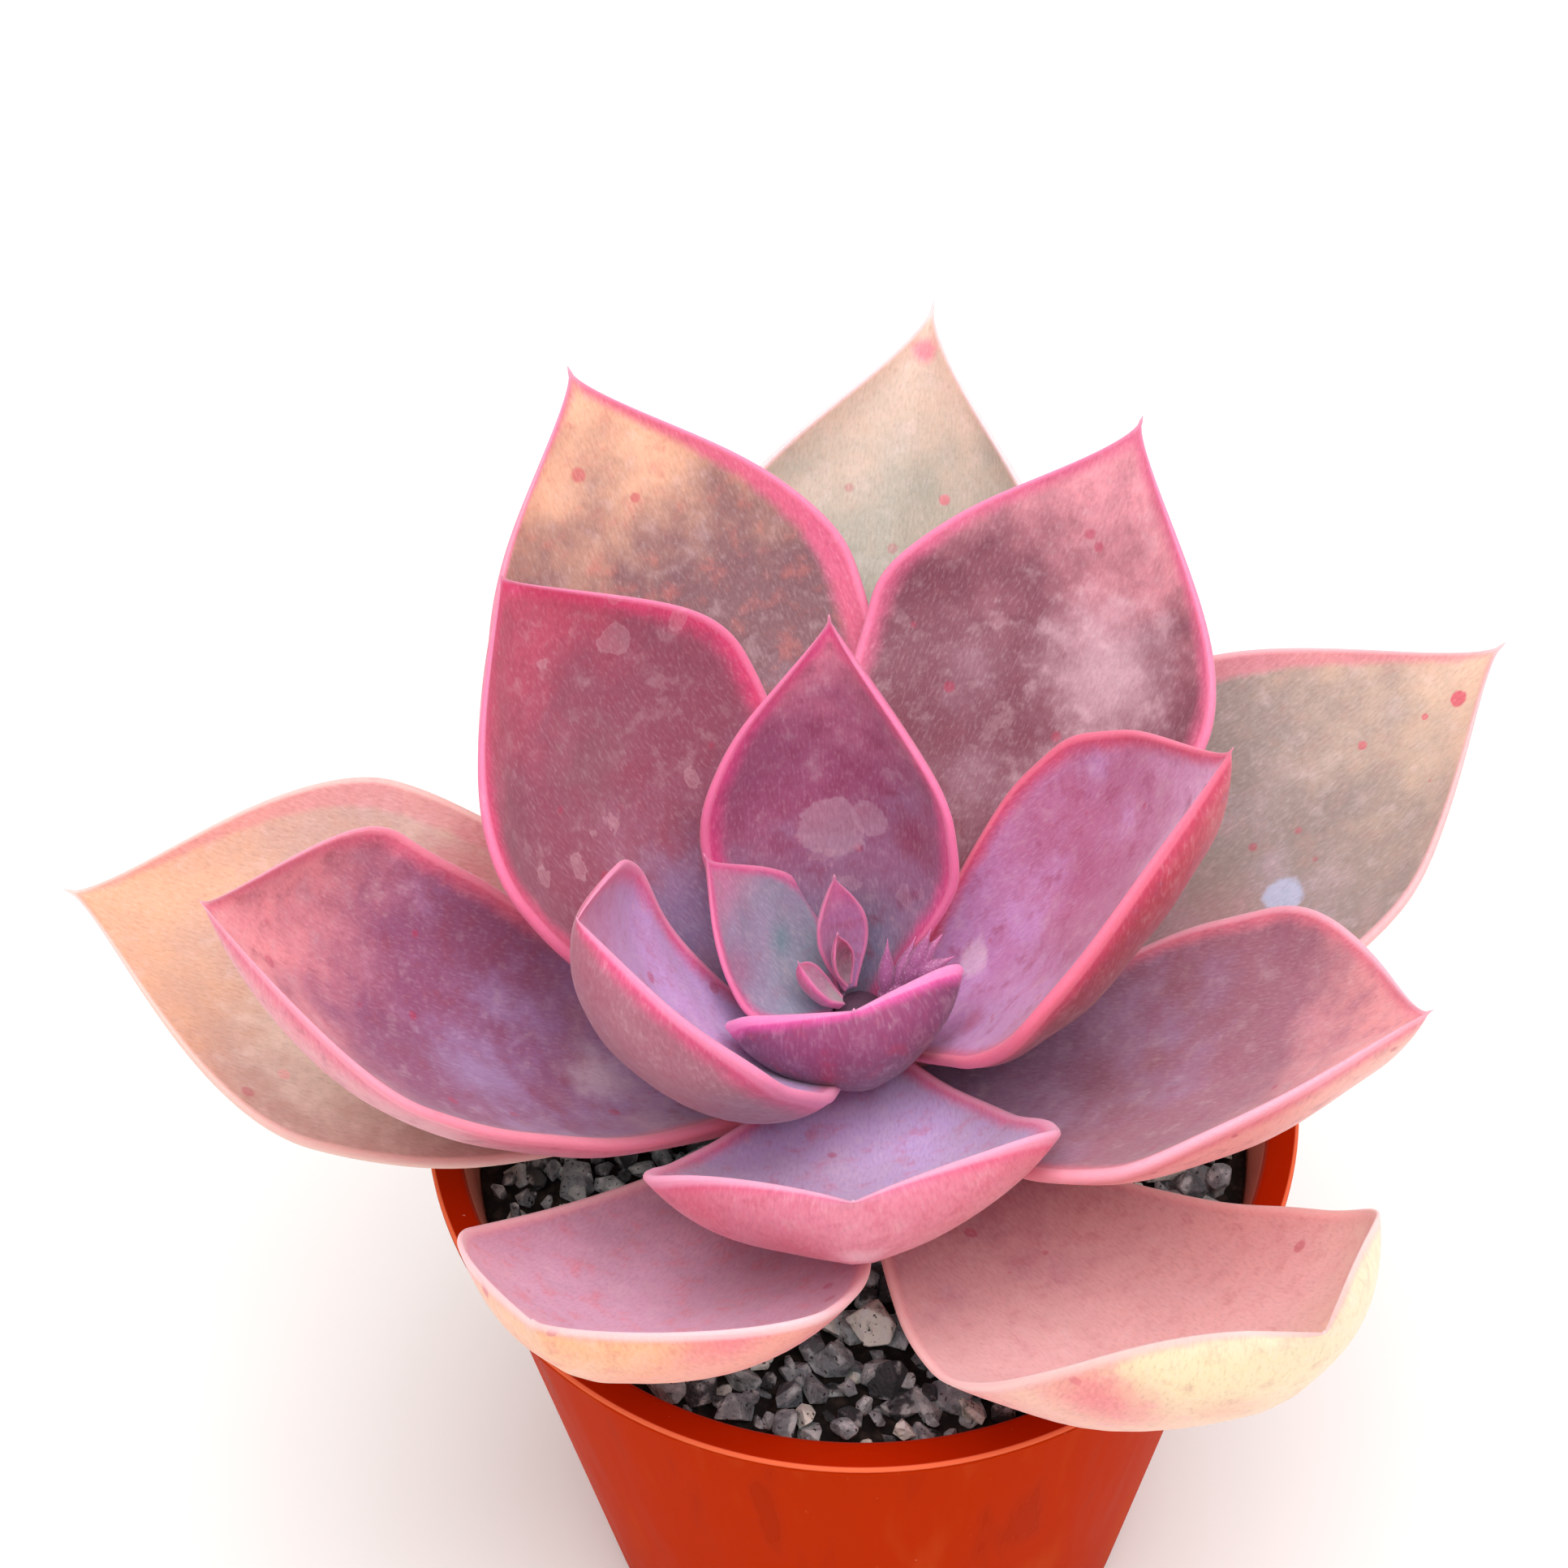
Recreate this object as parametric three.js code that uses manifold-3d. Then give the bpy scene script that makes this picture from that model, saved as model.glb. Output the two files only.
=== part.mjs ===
// A rosette succulent with thick pointed leaves, growing in a round nursery pot full of pumice grit.
// Millimetres and degrees, +Z up, origin at the middle of the pot's foot.
import * as THREE from 'three';
import { mergeVertices } from 'three/addons/utils/BufferGeometryUtils.js';
import { ConvexGeometry } from 'three/addons/geometries/ConvexGeometry.js';
import Module from 'manifold-3d';

const wasm = await Module();
wasm.setup();

const GAP = 0.3; // air left between two pieces that touch

const POT = {
  height: 78,
  lipRadius: 45,
  lipThickness: 1.2,
  wallRadius: 42.5, // outside, just under the lip
  wall: 1,
  floor: 1.6,
  taper: 8, // degrees off the vertical
  bevel: 0.5,
  segments: 56,
};
const DRAIN = { count: 6, radius: 3.5, ring: 21, segments: 16 };
const MIX = { headspace: 7, mound: 1.5, rings: [0.65, 0.3, 0], segments: 40 };
const STONES = {
  count: 18,
  corners: 16,
  smallest: 1.5,
  largest: 2.4,
  innerRing: 31,
  outerRing: 37.5,
  unevenness: 0.3, // of the spacing round the ring
  shape: new THREE.Vector3(1, 0.8, 0.65), // length, width and height of a stone, as shares
  firstSeed: 17,
  seedStep: 7919,
};

// The stem and taproot as radius by height. The leaves sit round it above the mix.
const STEM = [
  { z: 34, radius: 0.6 },
  { z: 56, radius: 2.4 },
  { z: 70, radius: 4.2 },
  { z: 82, radius: 4.4 },
  { z: 86, radius: 4 },
  { z: 90, radius: 2.6 },
  { z: 93, radius: 1.2 },
  { z: 95, radius: 0.5 },
];
const STEM_SEGMENTS = 14;
const STEM_CROWN = 0.4; // the rounded top above the last ring
const ROOT = {
  count: 6,
  firstHeading: 20,
  turn: 15, // how far a root swings round by its end
  radius: 0.7,
  reach: 25,
  top: 64,
  stagger: 3, // every other root starts this much lower
  drop: 30,
  middle: { reach: 0.55, drop: 0.3 }, // where the middle of the root lies, as shares
  steps: 7,
  sides: 6,
};

const DUSKY = '#a9647a';
const ROSE = '#b5506e';
const CREAM = '#d8bd98';
const PEACH = '#cf8f84';
const SAGE = '#93908f';

// The leaves from the oldest, lowest one to the youngest, each about 137.5 degrees on from the last.
// heading: compass of the midrib, from +X towards +Y. sweep: how far it turns sideways by the tip.
// height: where it joins the stem. rise: slope at the stem. curl: slope gained by the tip.
// bend: how late the curl comes. thick: its thickness at the midrib. roll: lean about the midrib.
// cup: half angle of the trough across the blade. cupGain: more of it by the tip.
// broad: where along the blade it is widest. taper: how drawn out its point is.
const LEAVES = [
  { name: 'back_leaf', color: CREAM, heading: 83, sweep: -16, height: 79, rise: 22, curl: 22,
    bend: 1.3, length: 81, width: 44, thick: 5, cup: 36, cupGain: 6, roll: -6, broad: 0.56, taper: 1.55 },
  { name: 'front_right_leaf', color: PEACH, heading: 303, sweep: 8, height: 78.5, rise: -5, curl: 88,
    bend: 1.4, length: 80, width: 45, thick: 2.8, cup: 6, cupGain: 62, roll: -9, broad: 0.64, taper: 0.4 },
  { name: 'left_leaf', color: CREAM, heading: 174, sweep: -1, height: 80, rise: 10, curl: 18,
    bend: 1.3, length: 78, width: 45, thick: 4.6, cup: 21, cupGain: 1, roll: -3, broad: 0.63, taper: 1.4 },
  { name: 'right_leaf', color: CREAM, heading: 23, sweep: 1, height: 79.5, rise: 15, curl: 21,
    bend: 1.3, length: 75, width: 42, thick: 4.6, cup: 28, cupGain: 0, roll: 0, broad: 0.58, taper: 1.4 },
  { name: 'front_left_leaf', color: PEACH, heading: 239, sweep: -13, height: 80, rise: -3, curl: 77,
    bend: 1.25, length: 66, width: 40, thick: 3.8, cup: 29, cupGain: 15, roll: 15, broad: 0.64, taper: 1.45 },
  { name: 'back_left_leaf', color: PEACH, heading: 117, sweep: 2, height: 83, rise: 31, curl: 23,
    bend: 1.3, length: 73, width: 41, thick: 5, cup: 24, cupGain: 0, roll: 0, broad: 0.61, taper: 1.4 },
  { name: 'right_lower_leaf', color: DUSKY, heading: 334, sweep: -6, height: 82.5, rise: 18, curl: 37,
    bend: 1.05, length: 64, width: 38, thick: 6, cup: 25, cupGain: 6, roll: -5, broad: 0.57, taper: 1.45 },
  { name: 'left_middle_leaf', color: DUSKY, heading: 192, sweep: -14, height: 82.5, rise: 10, curl: 54,
    bend: 1, length: 73, width: 37, thick: 5, cup: 47, cupGain: 5, roll: 0, broad: 0.7, taper: 1.2 },
  { name: 'back_right_leaf', color: DUSKY, heading: 54, sweep: 1, height: 85.5, rise: 32, curl: 27,
    bend: 1.3, length: 66, width: 39, thick: 5, cup: 25, cupGain: 0, roll: 0, broad: 0.59, taper: 1.5 },
  { name: 'front_leaf', color: DUSKY, heading: 267, sweep: -5, height: 87.5, rise: 4, curl: 73,
    bend: 1.35, length: 43, width: 40, thick: 4.8, cup: 18, cupGain: 27, roll: 8, broad: 0.65, taper: 0.6 },
  { name: 'left_back_leaf', color: ROSE, heading: 149, sweep: -8, height: 86.5, rise: 34, curl: 46,
    bend: 1.3, length: 60, width: 40, thick: 5, cup: 33, cupGain: 0, roll: -2, broad: 0.58, taper: 1.25 },
  { name: 'right_middle_leaf', color: ROSE, heading: 354, sweep: -9, height: 87.5, rise: 45, curl: 24,
    bend: 1.2, length: 54, width: 36, thick: 6, cup: 29, cupGain: 7, roll: -2, broad: 0.48, taper: 1.4 },
  { name: 'left_inner_leaf', color: DUSKY, heading: 213, sweep: -34, height: 87, rise: 32, curl: 46,
    bend: 0.95, length: 48, width: 31, thick: 5.5, cup: 32, cupGain: 26, roll: 2, broad: 0.62, taper: 0.8 },
  { name: 'centre_back_leaf', color: ROSE, heading: 96, sweep: -2, height: 88, rise: 61, curl: 20,
    bend: 1.25, length: 43, width: 28, thick: 4.2, cup: 46, cupGain: 7, roll: -20, broad: 0.46, taper: 1.4 },
  { name: 'front_inner_leaf', color: ROSE, heading: 265, sweep: 8, height: 91, rise: 38, curl: 44,
    bend: 1.3, length: 19.5, width: 24, thick: 5, cup: 35, cupGain: 13, roll: 14, broad: 0.59, taper: 1 },
  { name: 'back_inner_leaf', color: SAGE, heading: 162, sweep: -7, height: 90.5, rise: 46, curl: 24,
    bend: 1.45, length: 23, width: 16, thick: 2.4, cup: 8, cupGain: 0, roll: -4, broad: 0.4, taper: 1.5 },
  { name: 'heart_leaf_tall', color: DUSKY, heading: 115, sweep: 0, height: 91.5, rise: 70, curl: 18,
    bend: 1.3, length: 14.5, width: 5.4, thick: 1.7, cup: 36, cupGain: 0, roll: 0, broad: 0.52, taper: 1.3 },
  { name: 'heart_leaf_left', color: SAGE, heading: 190, sweep: 0, height: 92.5, rise: 48, curl: 25,
    bend: 1.3, length: 8.5, width: 4, thick: 1.5, cup: 34, cupGain: 0, roll: 0, broad: 0.5, taper: 1.2 },
  { name: 'heart_leaf_back', color: SAGE, heading: 140, sweep: 0, height: 93.5, rise: 72, curl: 15,
    bend: 1.3, length: 7, width: 2.8, thick: 1, cup: 34, cupGain: 0, roll: 0, broad: 0.5, taper: 1.2 },
];
const BLADE = {
  neck: 0.2, // width at the stem, as a share of the widest
  shoulder: 1.2, // how late the neck broadens
  point: 1.9, // how full the blade stays before its point
  sweepFrom: 0.35, // where along the leaf its heading is its own
  margin: 0.22, // thickness at the margin, as a share of the midrib's
  footThickness: 0.8, // thickness at the stem, as a share of the midrib's
  footLength: 0.25,
  thinning: 5, // how late the blade thins to its tip
  back: { foot: 2, tip: 1.2 }, // the underside is rounded by the stem and keeled by the tip
  rings: 11,
  across: 6,
  midribSteps: 6, // for each ring
};

// The young flower stalk beside the heart, with its slim buds.
const STALK = {
  height: 92, heading: 0, offset: 2.6, length: 4.5, lean: 42, radius: 0.7,
  buds: [
    { along: 0.1, heading: 80, lean: 74, length: 6.5, width: 1.4 },
    { along: 0.4, heading: 50, lean: 56, length: 5.5, width: 1.3 },
    { along: 0.6, heading: 25, lean: 50, length: 6.8, width: 1.9 },
    { along: 0.8, heading: 40, lean: 62, length: 6, width: 1.5 },
    { along: 0.95, heading: 0, lean: 38, length: 4.5, width: 1.5 },
  ],
  sides: 8,
  // a bud's outline as shares of its width and length
  budOutline: [[0, 0], [0.3, 0], [0.42, 0.2], [0.5, 0.5], [0.36, 0.78], [0.12, 0.96], [0, 1]],
};

const FINISHES = {
  pot: { color: '#b8451f', roughness: 0.35 },
  mix: { color: '#4c4a48', roughness: 0.95 },
  stone: { color: '#b9b5ae', roughness: 0.9 },
  stem: { color: '#8d8a5c', roughness: 0.7 },
  stalk: { color: '#a8627c', roughness: 0.6 },
};
const LEAF_ROUGHNESS = 0.6;
const rad = THREE.MathUtils.degToRad;
const lerp = THREE.MathUtils.lerp;

// ---- small helpers ----

function mesh(name, geometry, finish) {
  const piece = new THREE.Mesh(geometry, new THREE.MeshStandardMaterial({ ...finish, metalness: 0 }));
  piece.name = name;
  return piece;
}

function welded(geometry) {
  geometry.deleteAttribute('normal');
  geometry.deleteAttribute('uv');
  return mergeVertices(geometry, 1e-4);
}

function toManifold(geometry) {
  const closed = welded(geometry.clone());
  return new wasm.Manifold(new wasm.Mesh({
    numProp: 3,
    vertProperties: new Float32Array(closed.attributes.position.array),
    triVerts: new Uint32Array(closed.index.array),
  }));
}

function toGeometry(solid) {
  const { vertProperties, triVerts } = solid.getMesh();
  const geometry = new THREE.BufferGeometry();
  geometry.setAttribute('position', new THREE.BufferAttribute(vertProperties, 3));
  geometry.setIndex(new THREE.BufferAttribute(triVerts, 1));
  geometry.computeVertexNormals();
  return geometry;
}

// A lathe about Z through [radius, z] pairs that start and end on the axis.
function lathe(profile, segments) {
  const outline = profile.map(([radius, z]) => new THREE.Vector2(radius, z));
  return new THREE.LatheGeometry(outline, segments).rotateX(Math.PI / 2);
}

// A round bar along a path of points.
function bar(points, radius, sides, steps) {
  const section = new THREE.Shape().absarc(0, 0, radius, 0, 2 * Math.PI);
  return new THREE.ExtrudeGeometry(section, {
    curveSegments: sides,
    steps,
    bevelEnabled: false,
    extrudePath: new THREE.CatmullRomCurve3(points),
  });
}

function direction(heading, rise) {
  const level = Math.cos(rad(rise));
  const [x, y] = [Math.cos(rad(heading)), Math.sin(rad(heading))];
  return new THREE.Vector3(level * x, level * y, Math.sin(rad(rise)));
}

// A repeatable stream of numbers between 0 and 1.
function numbers(seed) {
  let state = seed;
  return () => {
    state = (state * 1664525 + 1013904223) % 4294967296;
    return state / 4294967296;
  };
}

// ---- pot, mix and stones ----

function wallOffset(z) {
  return (POT.height - z) * Math.tan(rad(POT.taper));
}

function pot() {
  const { height, lipRadius, lipThickness, wallRadius, wall, floor, bevel } = POT;
  const inside = wallRadius - wall;
  const profile = [
    [0, 0],
    [wallRadius - wallOffset(0) - bevel, 0],
    [wallRadius - wallOffset(bevel), bevel],
    [wallRadius, height - lipThickness],
    [lipRadius - bevel, height - lipThickness],
    [lipRadius, height - lipThickness + bevel],
    [lipRadius, height - bevel],
    [lipRadius - bevel, height],
    [inside + 2 * bevel, height],
    [inside, height - 2 * bevel],
    [inside - wallOffset(floor + 2 * bevel), floor + 2 * bevel],
    [inside - wallOffset(floor) - 2 * bevel, floor],
    [0, floor],
  ];
  let body = toManifold(lathe(profile, POT.segments));
  for (let i = 0; i < DRAIN.count; i += 1) {
    const turn = (2 * Math.PI * i) / DRAIN.count;
    const hole = new THREE.CylinderGeometry(DRAIN.radius, DRAIN.radius, 4 * floor, DRAIN.segments);
    hole.rotateX(Math.PI / 2).translate(DRAIN.ring * Math.cos(turn), DRAIN.ring * Math.sin(turn), 0);
    body = body.subtract(toManifold(hole));
  }
  return mesh('pot', toGeometry(body), FINISHES.pot);
}

function mixTop(radius) {
  const share = radius / (POT.wallRadius - POT.wall);
  return POT.height - MIX.headspace + MIX.mound * (1 - share * share);
}

// The bed fills the pot and keeps clear of the taproot and the roots that run through it.
function pottingMix() {
  const outer = POT.wallRadius - POT.wall - GAP;
  const bottom = POT.floor + GAP;
  const top = POT.height - MIX.headspace;
  const profile = [
    [0, bottom],
    [outer - wallOffset(bottom) - 2 * POT.bevel, bottom],
    [outer - wallOffset(bottom + 2 * POT.bevel), bottom + 2 * POT.bevel],
    [outer - wallOffset(top), top],
    ...MIX.rings.map((share) => [outer * share, mixTop(outer * share)]),
  ];
  const bed = toManifold(lathe(profile, MIX.segments)).subtract(stemSolid(GAP));
  return mesh('potting_mix', toGeometry(bed), FINISHES.mix);
}

// One broken stone, lying on the mix in one of two rings.
function stone(index) {
  const next = numbers(index * STONES.seedStep + STONES.firstSeed);
  const size = lerp(STONES.smallest, STONES.largest, next());
  const corners = [];
  for (let i = 0; i < STONES.corners; i += 1) {
    const corner = new THREE.Vector3(next() - 0.5, next() - 0.5, next() - 0.5).normalize();
    corners.push(corner.multiply(STONES.shape).multiplyScalar(size));
  }
  const lowest = Math.min(...corners.map((corner) => corner.z));
  const turn = (2 * Math.PI * (index + STONES.unevenness * next())) / STONES.count;
  const radius = index % 2 ? STONES.outerRing : STONES.innerRing;
  const name = `grit_stone_${String(index + 1).padStart(2, '0')}`;
  const piece = mesh(name, new ConvexGeometry(corners), FINISHES.stone);
  const height = mixTop(radius - size) + GAP - lowest;
  piece.position.set(radius * Math.cos(turn), radius * Math.sin(turn), height);
  return piece;
}

// ---- stem and roots ----

function stemRadius(height) {
  const above = STEM.findIndex((ring) => ring.z >= height);
  const [low, high] = [STEM[above - 1], STEM[above]];
  return lerp(low.radius, high.radius, (height - low.z) / (high.z - low.z));
}

function rootPath(index, extra) {
  const heading = (360 * index) / ROOT.count + ROOT.firstHeading;
  const start = new THREE.Vector3(0, 0, ROOT.top - ROOT.stagger * (index % 2));
  const middle = direction(heading, 0).multiplyScalar(ROOT.middle.reach * ROOT.reach);
  middle.setZ(ROOT.top - ROOT.middle.drop * ROOT.drop);
  const end = direction(heading + ROOT.turn, 0).multiplyScalar(ROOT.reach + extra);
  return [start, middle, end.setZ(ROOT.top - ROOT.drop - extra)];
}

// The stem with its taproot and side roots as one solid, grown all over by extra.
function stemSolid(extra) {
  const profile = STEM.map(({ z, radius }) => [radius + extra, z]);
  const [lowest, highest] = [STEM[0].z - extra, STEM[STEM.length - 1].z + STEM_CROWN + extra];
  let solid = toManifold(lathe([[0, lowest], ...profile, [0, highest]], STEM_SEGMENTS));
  for (let i = 0; i < ROOT.count; i += 1) {
    solid = solid.add(toManifold(bar(rootPath(i, extra), ROOT.radius + extra, ROOT.sides, ROOT.steps)));
  }
  return solid;
}

// ---- leaves ----

// Half the blade's width at a share s of its length: a narrow neck, a broad shoulder and a drawn-out point.
function halfWidth(leaf, s) {
  const toShoulder = Math.min(s / leaf.broad, 1);
  const past = Math.max((s - leaf.broad) / (1 - leaf.broad), 0);
  const neck = lerp(BLADE.neck, 1, Math.sin((Math.PI / 2) * toShoulder) ** BLADE.shoulder);
  return (leaf.width / 2) * neck * (1 - past ** BLADE.point) ** leaf.taper;
}

// The midrib's place and its three directions at evenly spaced shares of the length.
function midrib(leaf, steps) {
  const place = direction(leaf.heading, 0).multiplyScalar(stemRadius(leaf.height) + GAP).setZ(leaf.height);
  const stations = [];
  let before = null;
  for (let i = 0; i <= steps; i += 1) {
    const s = i / steps;
    const heading = leaf.heading + leaf.sweep * (s - BLADE.sweepFrom);
    const along = direction(heading, leaf.rise + leaf.curl * s ** leaf.bend);
    if (before) place.addScaledVector(before.add(along), leaf.length / steps / 2);
    before = along.clone();
    const left = direction(heading + 90, 0).applyAxisAngle(along, rad(leaf.roll));
    stations.push({ s, place: place.clone(), along, left, up: along.clone().cross(left) });
  }
  return stations;
}

// Thickness of the blade: a thick midrib with a keel towards the tip, thin margins, nothing at the very tip.
function bladeThickness(leaf, s, side) {
  const foot = lerp(BLADE.footThickness, 1, Math.min(s / BLADE.footLength, 1));
  const body = leaf.thick * foot * (1 - s ** BLADE.thinning);
  const arch = 1 - Math.abs(side) ** lerp(BLADE.back.foot, BLADE.back.tip, s);
  return body * lerp(BLADE.margin, 1, arch);
}

// A point of the blade's skin, grown all over by extra. side runs -1 to 1 across it;
// depth is 0 on the upper face and 1 on the underside.
function bladePoint(leaf, station, side, depth, extra) {
  const { s, place, left, up } = station;
  const cup = rad(leaf.cup + leaf.cupGain * s);
  const reach = (halfWidth(leaf, s) + extra) / cup;
  const angle = cup * side;
  const sunk = depth * (bladeThickness(leaf, s, side) + 2 * extra) - extra;
  return place.clone()
    .addScaledVector(left, Math.sin(angle) * (reach + sunk))
    .addScaledVector(up, reach - Math.cos(angle) * (reach + sunk));
}

function bladeRing(leaf, station, extra) {
  const sides = Array.from({ length: BLADE.across + 1 }, (_, i) => (2 * i) / BLADE.across - 1);
  const upper = sides.map((side) => bladePoint(leaf, station, side, 0, extra));
  const under = sides.reverse().map((side) => bladePoint(leaf, station, side, 1, extra));
  return [...upper, ...under];
}

// The closed skin of a leaf: rings from the stem to near the tip, the cut base, and a fan at the tip.
function leafGeometry(leaf, extra) {
  const fine = BLADE.midribSteps;
  const stations = midrib(leaf, BLADE.rings * fine).filter((station, i) => i % fine === 0);
  const tip = stations.pop().place;
  const rings = stations.map((station) => bladeRing(leaf, station, extra));
  const size = rings[0].length;
  const faces = [];
  const quad = (a, b, c, d) => faces.push(a, b, c, a, c, d);
  for (let i = 0; i < rings.length - 1; i += 1) {
    for (let j = 0; j < size; j += 1) {
      const next = (j + 1) % size;
      quad(i * size + j, (i + 1) * size + j, (i + 1) * size + next, i * size + next);
    }
  }
  for (let j = 0; j < BLADE.across; j += 1) quad(j, j + 1, size - 2 - j, size - 1 - j);
  const last = (rings.length - 1) * size;
  for (let j = 0; j < size; j += 1) faces.push(last + j, rings.length * size, last + ((j + 1) % size));
  const geometry = new THREE.BufferGeometry().setFromPoints([...rings.flat(), tip]);
  geometry.setIndex(faces);
  geometry.computeVertexNormals();
  return geometry;
}

// A leaf as a solid, pressed in where a younger leaf or the stem lies against it.
function leafSolid(index) {
  let solid = toManifold(leafGeometry(LEAVES[index], 0));
  for (const younger of LEAVES.slice(index + 1)) {
    const grown = toManifold(leafGeometry(younger, GAP));
    if (solid.intersect(grown).volume() > 0) solid = solid.subtract(grown);
  }
  return solid.subtract(stemSolid(GAP / 2));
}

// ---- flower stalk ----

// A slim closed bud with a pointed end, standing along +Z.
function bud({ length, width }) {
  return lathe(STALK.budOutline.map(([r, z]) => [r * width, z * length]), STALK.sides);
}

function flowerStalk() {
  const start = direction(STALK.heading, 0).multiplyScalar(STALK.offset).setZ(STALK.height);
  const aim = direction(STALK.heading, STALK.lean);
  const end = start.clone().addScaledVector(aim, STALK.length);
  let solid = toManifold(bar([start, end], STALK.radius, STALK.sides, 1));
  for (const spec of STALK.buds) {
    const place = start.clone().lerp(end, spec.along);
    const turn = new THREE.Quaternion().setFromUnitVectors(
      new THREE.Vector3(0, 0, 1), direction(spec.heading, spec.lean));
    solid = solid.add(toManifold(bud(spec).applyQuaternion(turn).translate(place.x, place.y, place.z)));
  }
  return mesh('flower_stalk', toGeometry(solid), FINISHES.stalk);
}

// ---- assembly ----

const plant = new THREE.Group();
plant.add(pot(), pottingMix());
for (let i = 0; i < STONES.count; i += 1) plant.add(stone(i));
plant.add(mesh('stem', toGeometry(stemSolid(0)), FINISHES.stem));
LEAVES.forEach((leaf, i) => {
  plant.add(mesh(leaf.name, toGeometry(leafSolid(i)), { color: leaf.color, roughness: LEAF_ROUGHNESS }));
});
plant.add(flowerStalk());

export default plant;
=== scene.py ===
"""A rosette succulent with dusky pink leaves, in a thin orange nursery pot of pumice grit.

Everything is in metres in the part's own frame, +Z up, with the origin at the middle of the pot's foot.
The sizes below are written in millimetres and degrees, as a grower would measure them.
"""

import logging
import math
from dataclasses import dataclass, field
from enum import Enum

import bmesh
import bpy
import numpy as np
from mathutils import Matrix, Vector

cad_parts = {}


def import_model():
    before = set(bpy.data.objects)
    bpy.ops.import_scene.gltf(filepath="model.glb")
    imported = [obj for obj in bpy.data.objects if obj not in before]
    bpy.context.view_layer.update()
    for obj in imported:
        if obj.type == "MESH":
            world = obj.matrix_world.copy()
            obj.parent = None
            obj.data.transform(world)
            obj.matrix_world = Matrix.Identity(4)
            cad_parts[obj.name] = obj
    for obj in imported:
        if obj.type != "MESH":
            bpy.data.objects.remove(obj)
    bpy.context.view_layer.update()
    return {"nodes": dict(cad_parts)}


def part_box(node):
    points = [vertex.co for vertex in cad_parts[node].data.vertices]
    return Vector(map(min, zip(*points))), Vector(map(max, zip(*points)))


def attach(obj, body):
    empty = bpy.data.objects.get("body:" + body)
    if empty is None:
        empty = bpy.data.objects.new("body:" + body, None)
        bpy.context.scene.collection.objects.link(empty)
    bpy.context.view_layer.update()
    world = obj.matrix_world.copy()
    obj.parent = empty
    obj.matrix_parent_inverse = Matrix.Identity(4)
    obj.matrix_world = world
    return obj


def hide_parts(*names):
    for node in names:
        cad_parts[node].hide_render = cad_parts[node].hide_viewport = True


Tree, Socket, Material = bpy.types.NodeTree, bpy.types.NodeSocket, bpy.types.Material
Mesh, Object = bpy.types.Mesh, bpy.types.Object
Outline = list[tuple[float, float]]  # radius and height pairs, in millimetres

LOG = logging.getLogger("succulent")
MM = 0.001
GAP = 0.3  # millimetres of air between two pieces that touch
GOLDEN_TURN = math.pi * (3 - math.sqrt(5))
FACE_GAP = 40  # millimetres that keep a mark on one face of a leaf from showing on the other
GRAIN_GAP = 5  # millimetres between the grain of a leaf's two faces
MEASURES = ("LENGTH", "DISTANCE", "DOT_PRODUCT")  # vector operations that give a number


class Slot(Enum):
    """The material slots that the part's record names."""

    POT = "pot_plastic"
    GRIT = "grit"
    STONE = "grit_stone"
    STEM = "stem_bark"
    DUSKY = "leaf_dusky"
    ROSE = "leaf_rose"
    CREAM = "leaf_cream"
    PEACH = "leaf_peach"
    SAGE = "leaf_sage"
    BUD = "bud"


# ---- colour and node helpers ----


def linear(hex_colour: str) -> tuple[float, float, float, float]:
    """Turns an sRGB hex colour to linear light.

    Args:
        hex_colour: Six hex digits after a hash sign.

    Returns:
        Red, green, blue and an alpha of one.
    """
    channels = [int(hex_colour[i : i + 2], 16) / 255 for i in (1, 3, 5)]
    light = [c / 12.92 if c <= 0.04045 else ((c + 0.055) / 1.055) ** 2.4 for c in channels]
    return (*light, 1.0)


def per_metre(size_mm: float) -> float:
    """Gives the texture scale whose features are size_mm across."""
    return 1.0 / (size_mm * MM)


def add_node(tree: Tree, kind: str, inputs: dict | None = None, **settings: object) -> bpy.types.Node:
    """Adds a node with its settings and its inputs, each a number or a link.

    Args:
        tree: The node tree that gets the node.
        kind: The node's type name.
        inputs: Values or output sockets, by input name or number.
        settings: Properties of the node itself.

    Returns:
        The new node.
    """
    node = tree.nodes.new(kind)
    for name, value in settings.items():
        setattr(node, name, value)
    for key, value in (inputs or {}).items():
        if isinstance(value, Socket):
            tree.links.new(value, node.inputs[key])
        else:
            node.inputs[key].default_value = value
    return node


def sums(tree: Tree, operation: str, *terms: object) -> Socket:
    """Adds a node that does sums with numbers or sockets, and gives its answer."""
    return add_node(tree, "ShaderNodeMath", dict(enumerate(terms)), operation=operation).outputs[0]


def vector_sums(tree: Tree, operation: str, *terms: object) -> Socket:
    """Adds a node that does sums with vectors or sockets, and gives its answer."""
    node = add_node(tree, "ShaderNodeVectorMath", dict(enumerate(terms)), operation=operation)
    return node.outputs["Value" if operation in MEASURES else "Vector"]


def noise(tree: Tree, place: Socket, size_mm: float, detail: float, rough: float = 0.5) -> Socket:
    """Adds cloudy noise with features size_mm across and as many finer octaves as its detail."""
    inputs = {"Vector": place, "Scale": per_metre(size_mm), "Detail": detail, "Roughness": rough}
    return add_node(tree, "ShaderNodeTexNoise", inputs).outputs["Fac"]


@dataclass(frozen=True)
class Layer:
    """One coat of colour: it fades in as its source goes from low to high, up to its strength."""

    source: Socket
    low: float
    high: float
    strength: float
    colour: str


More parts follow.
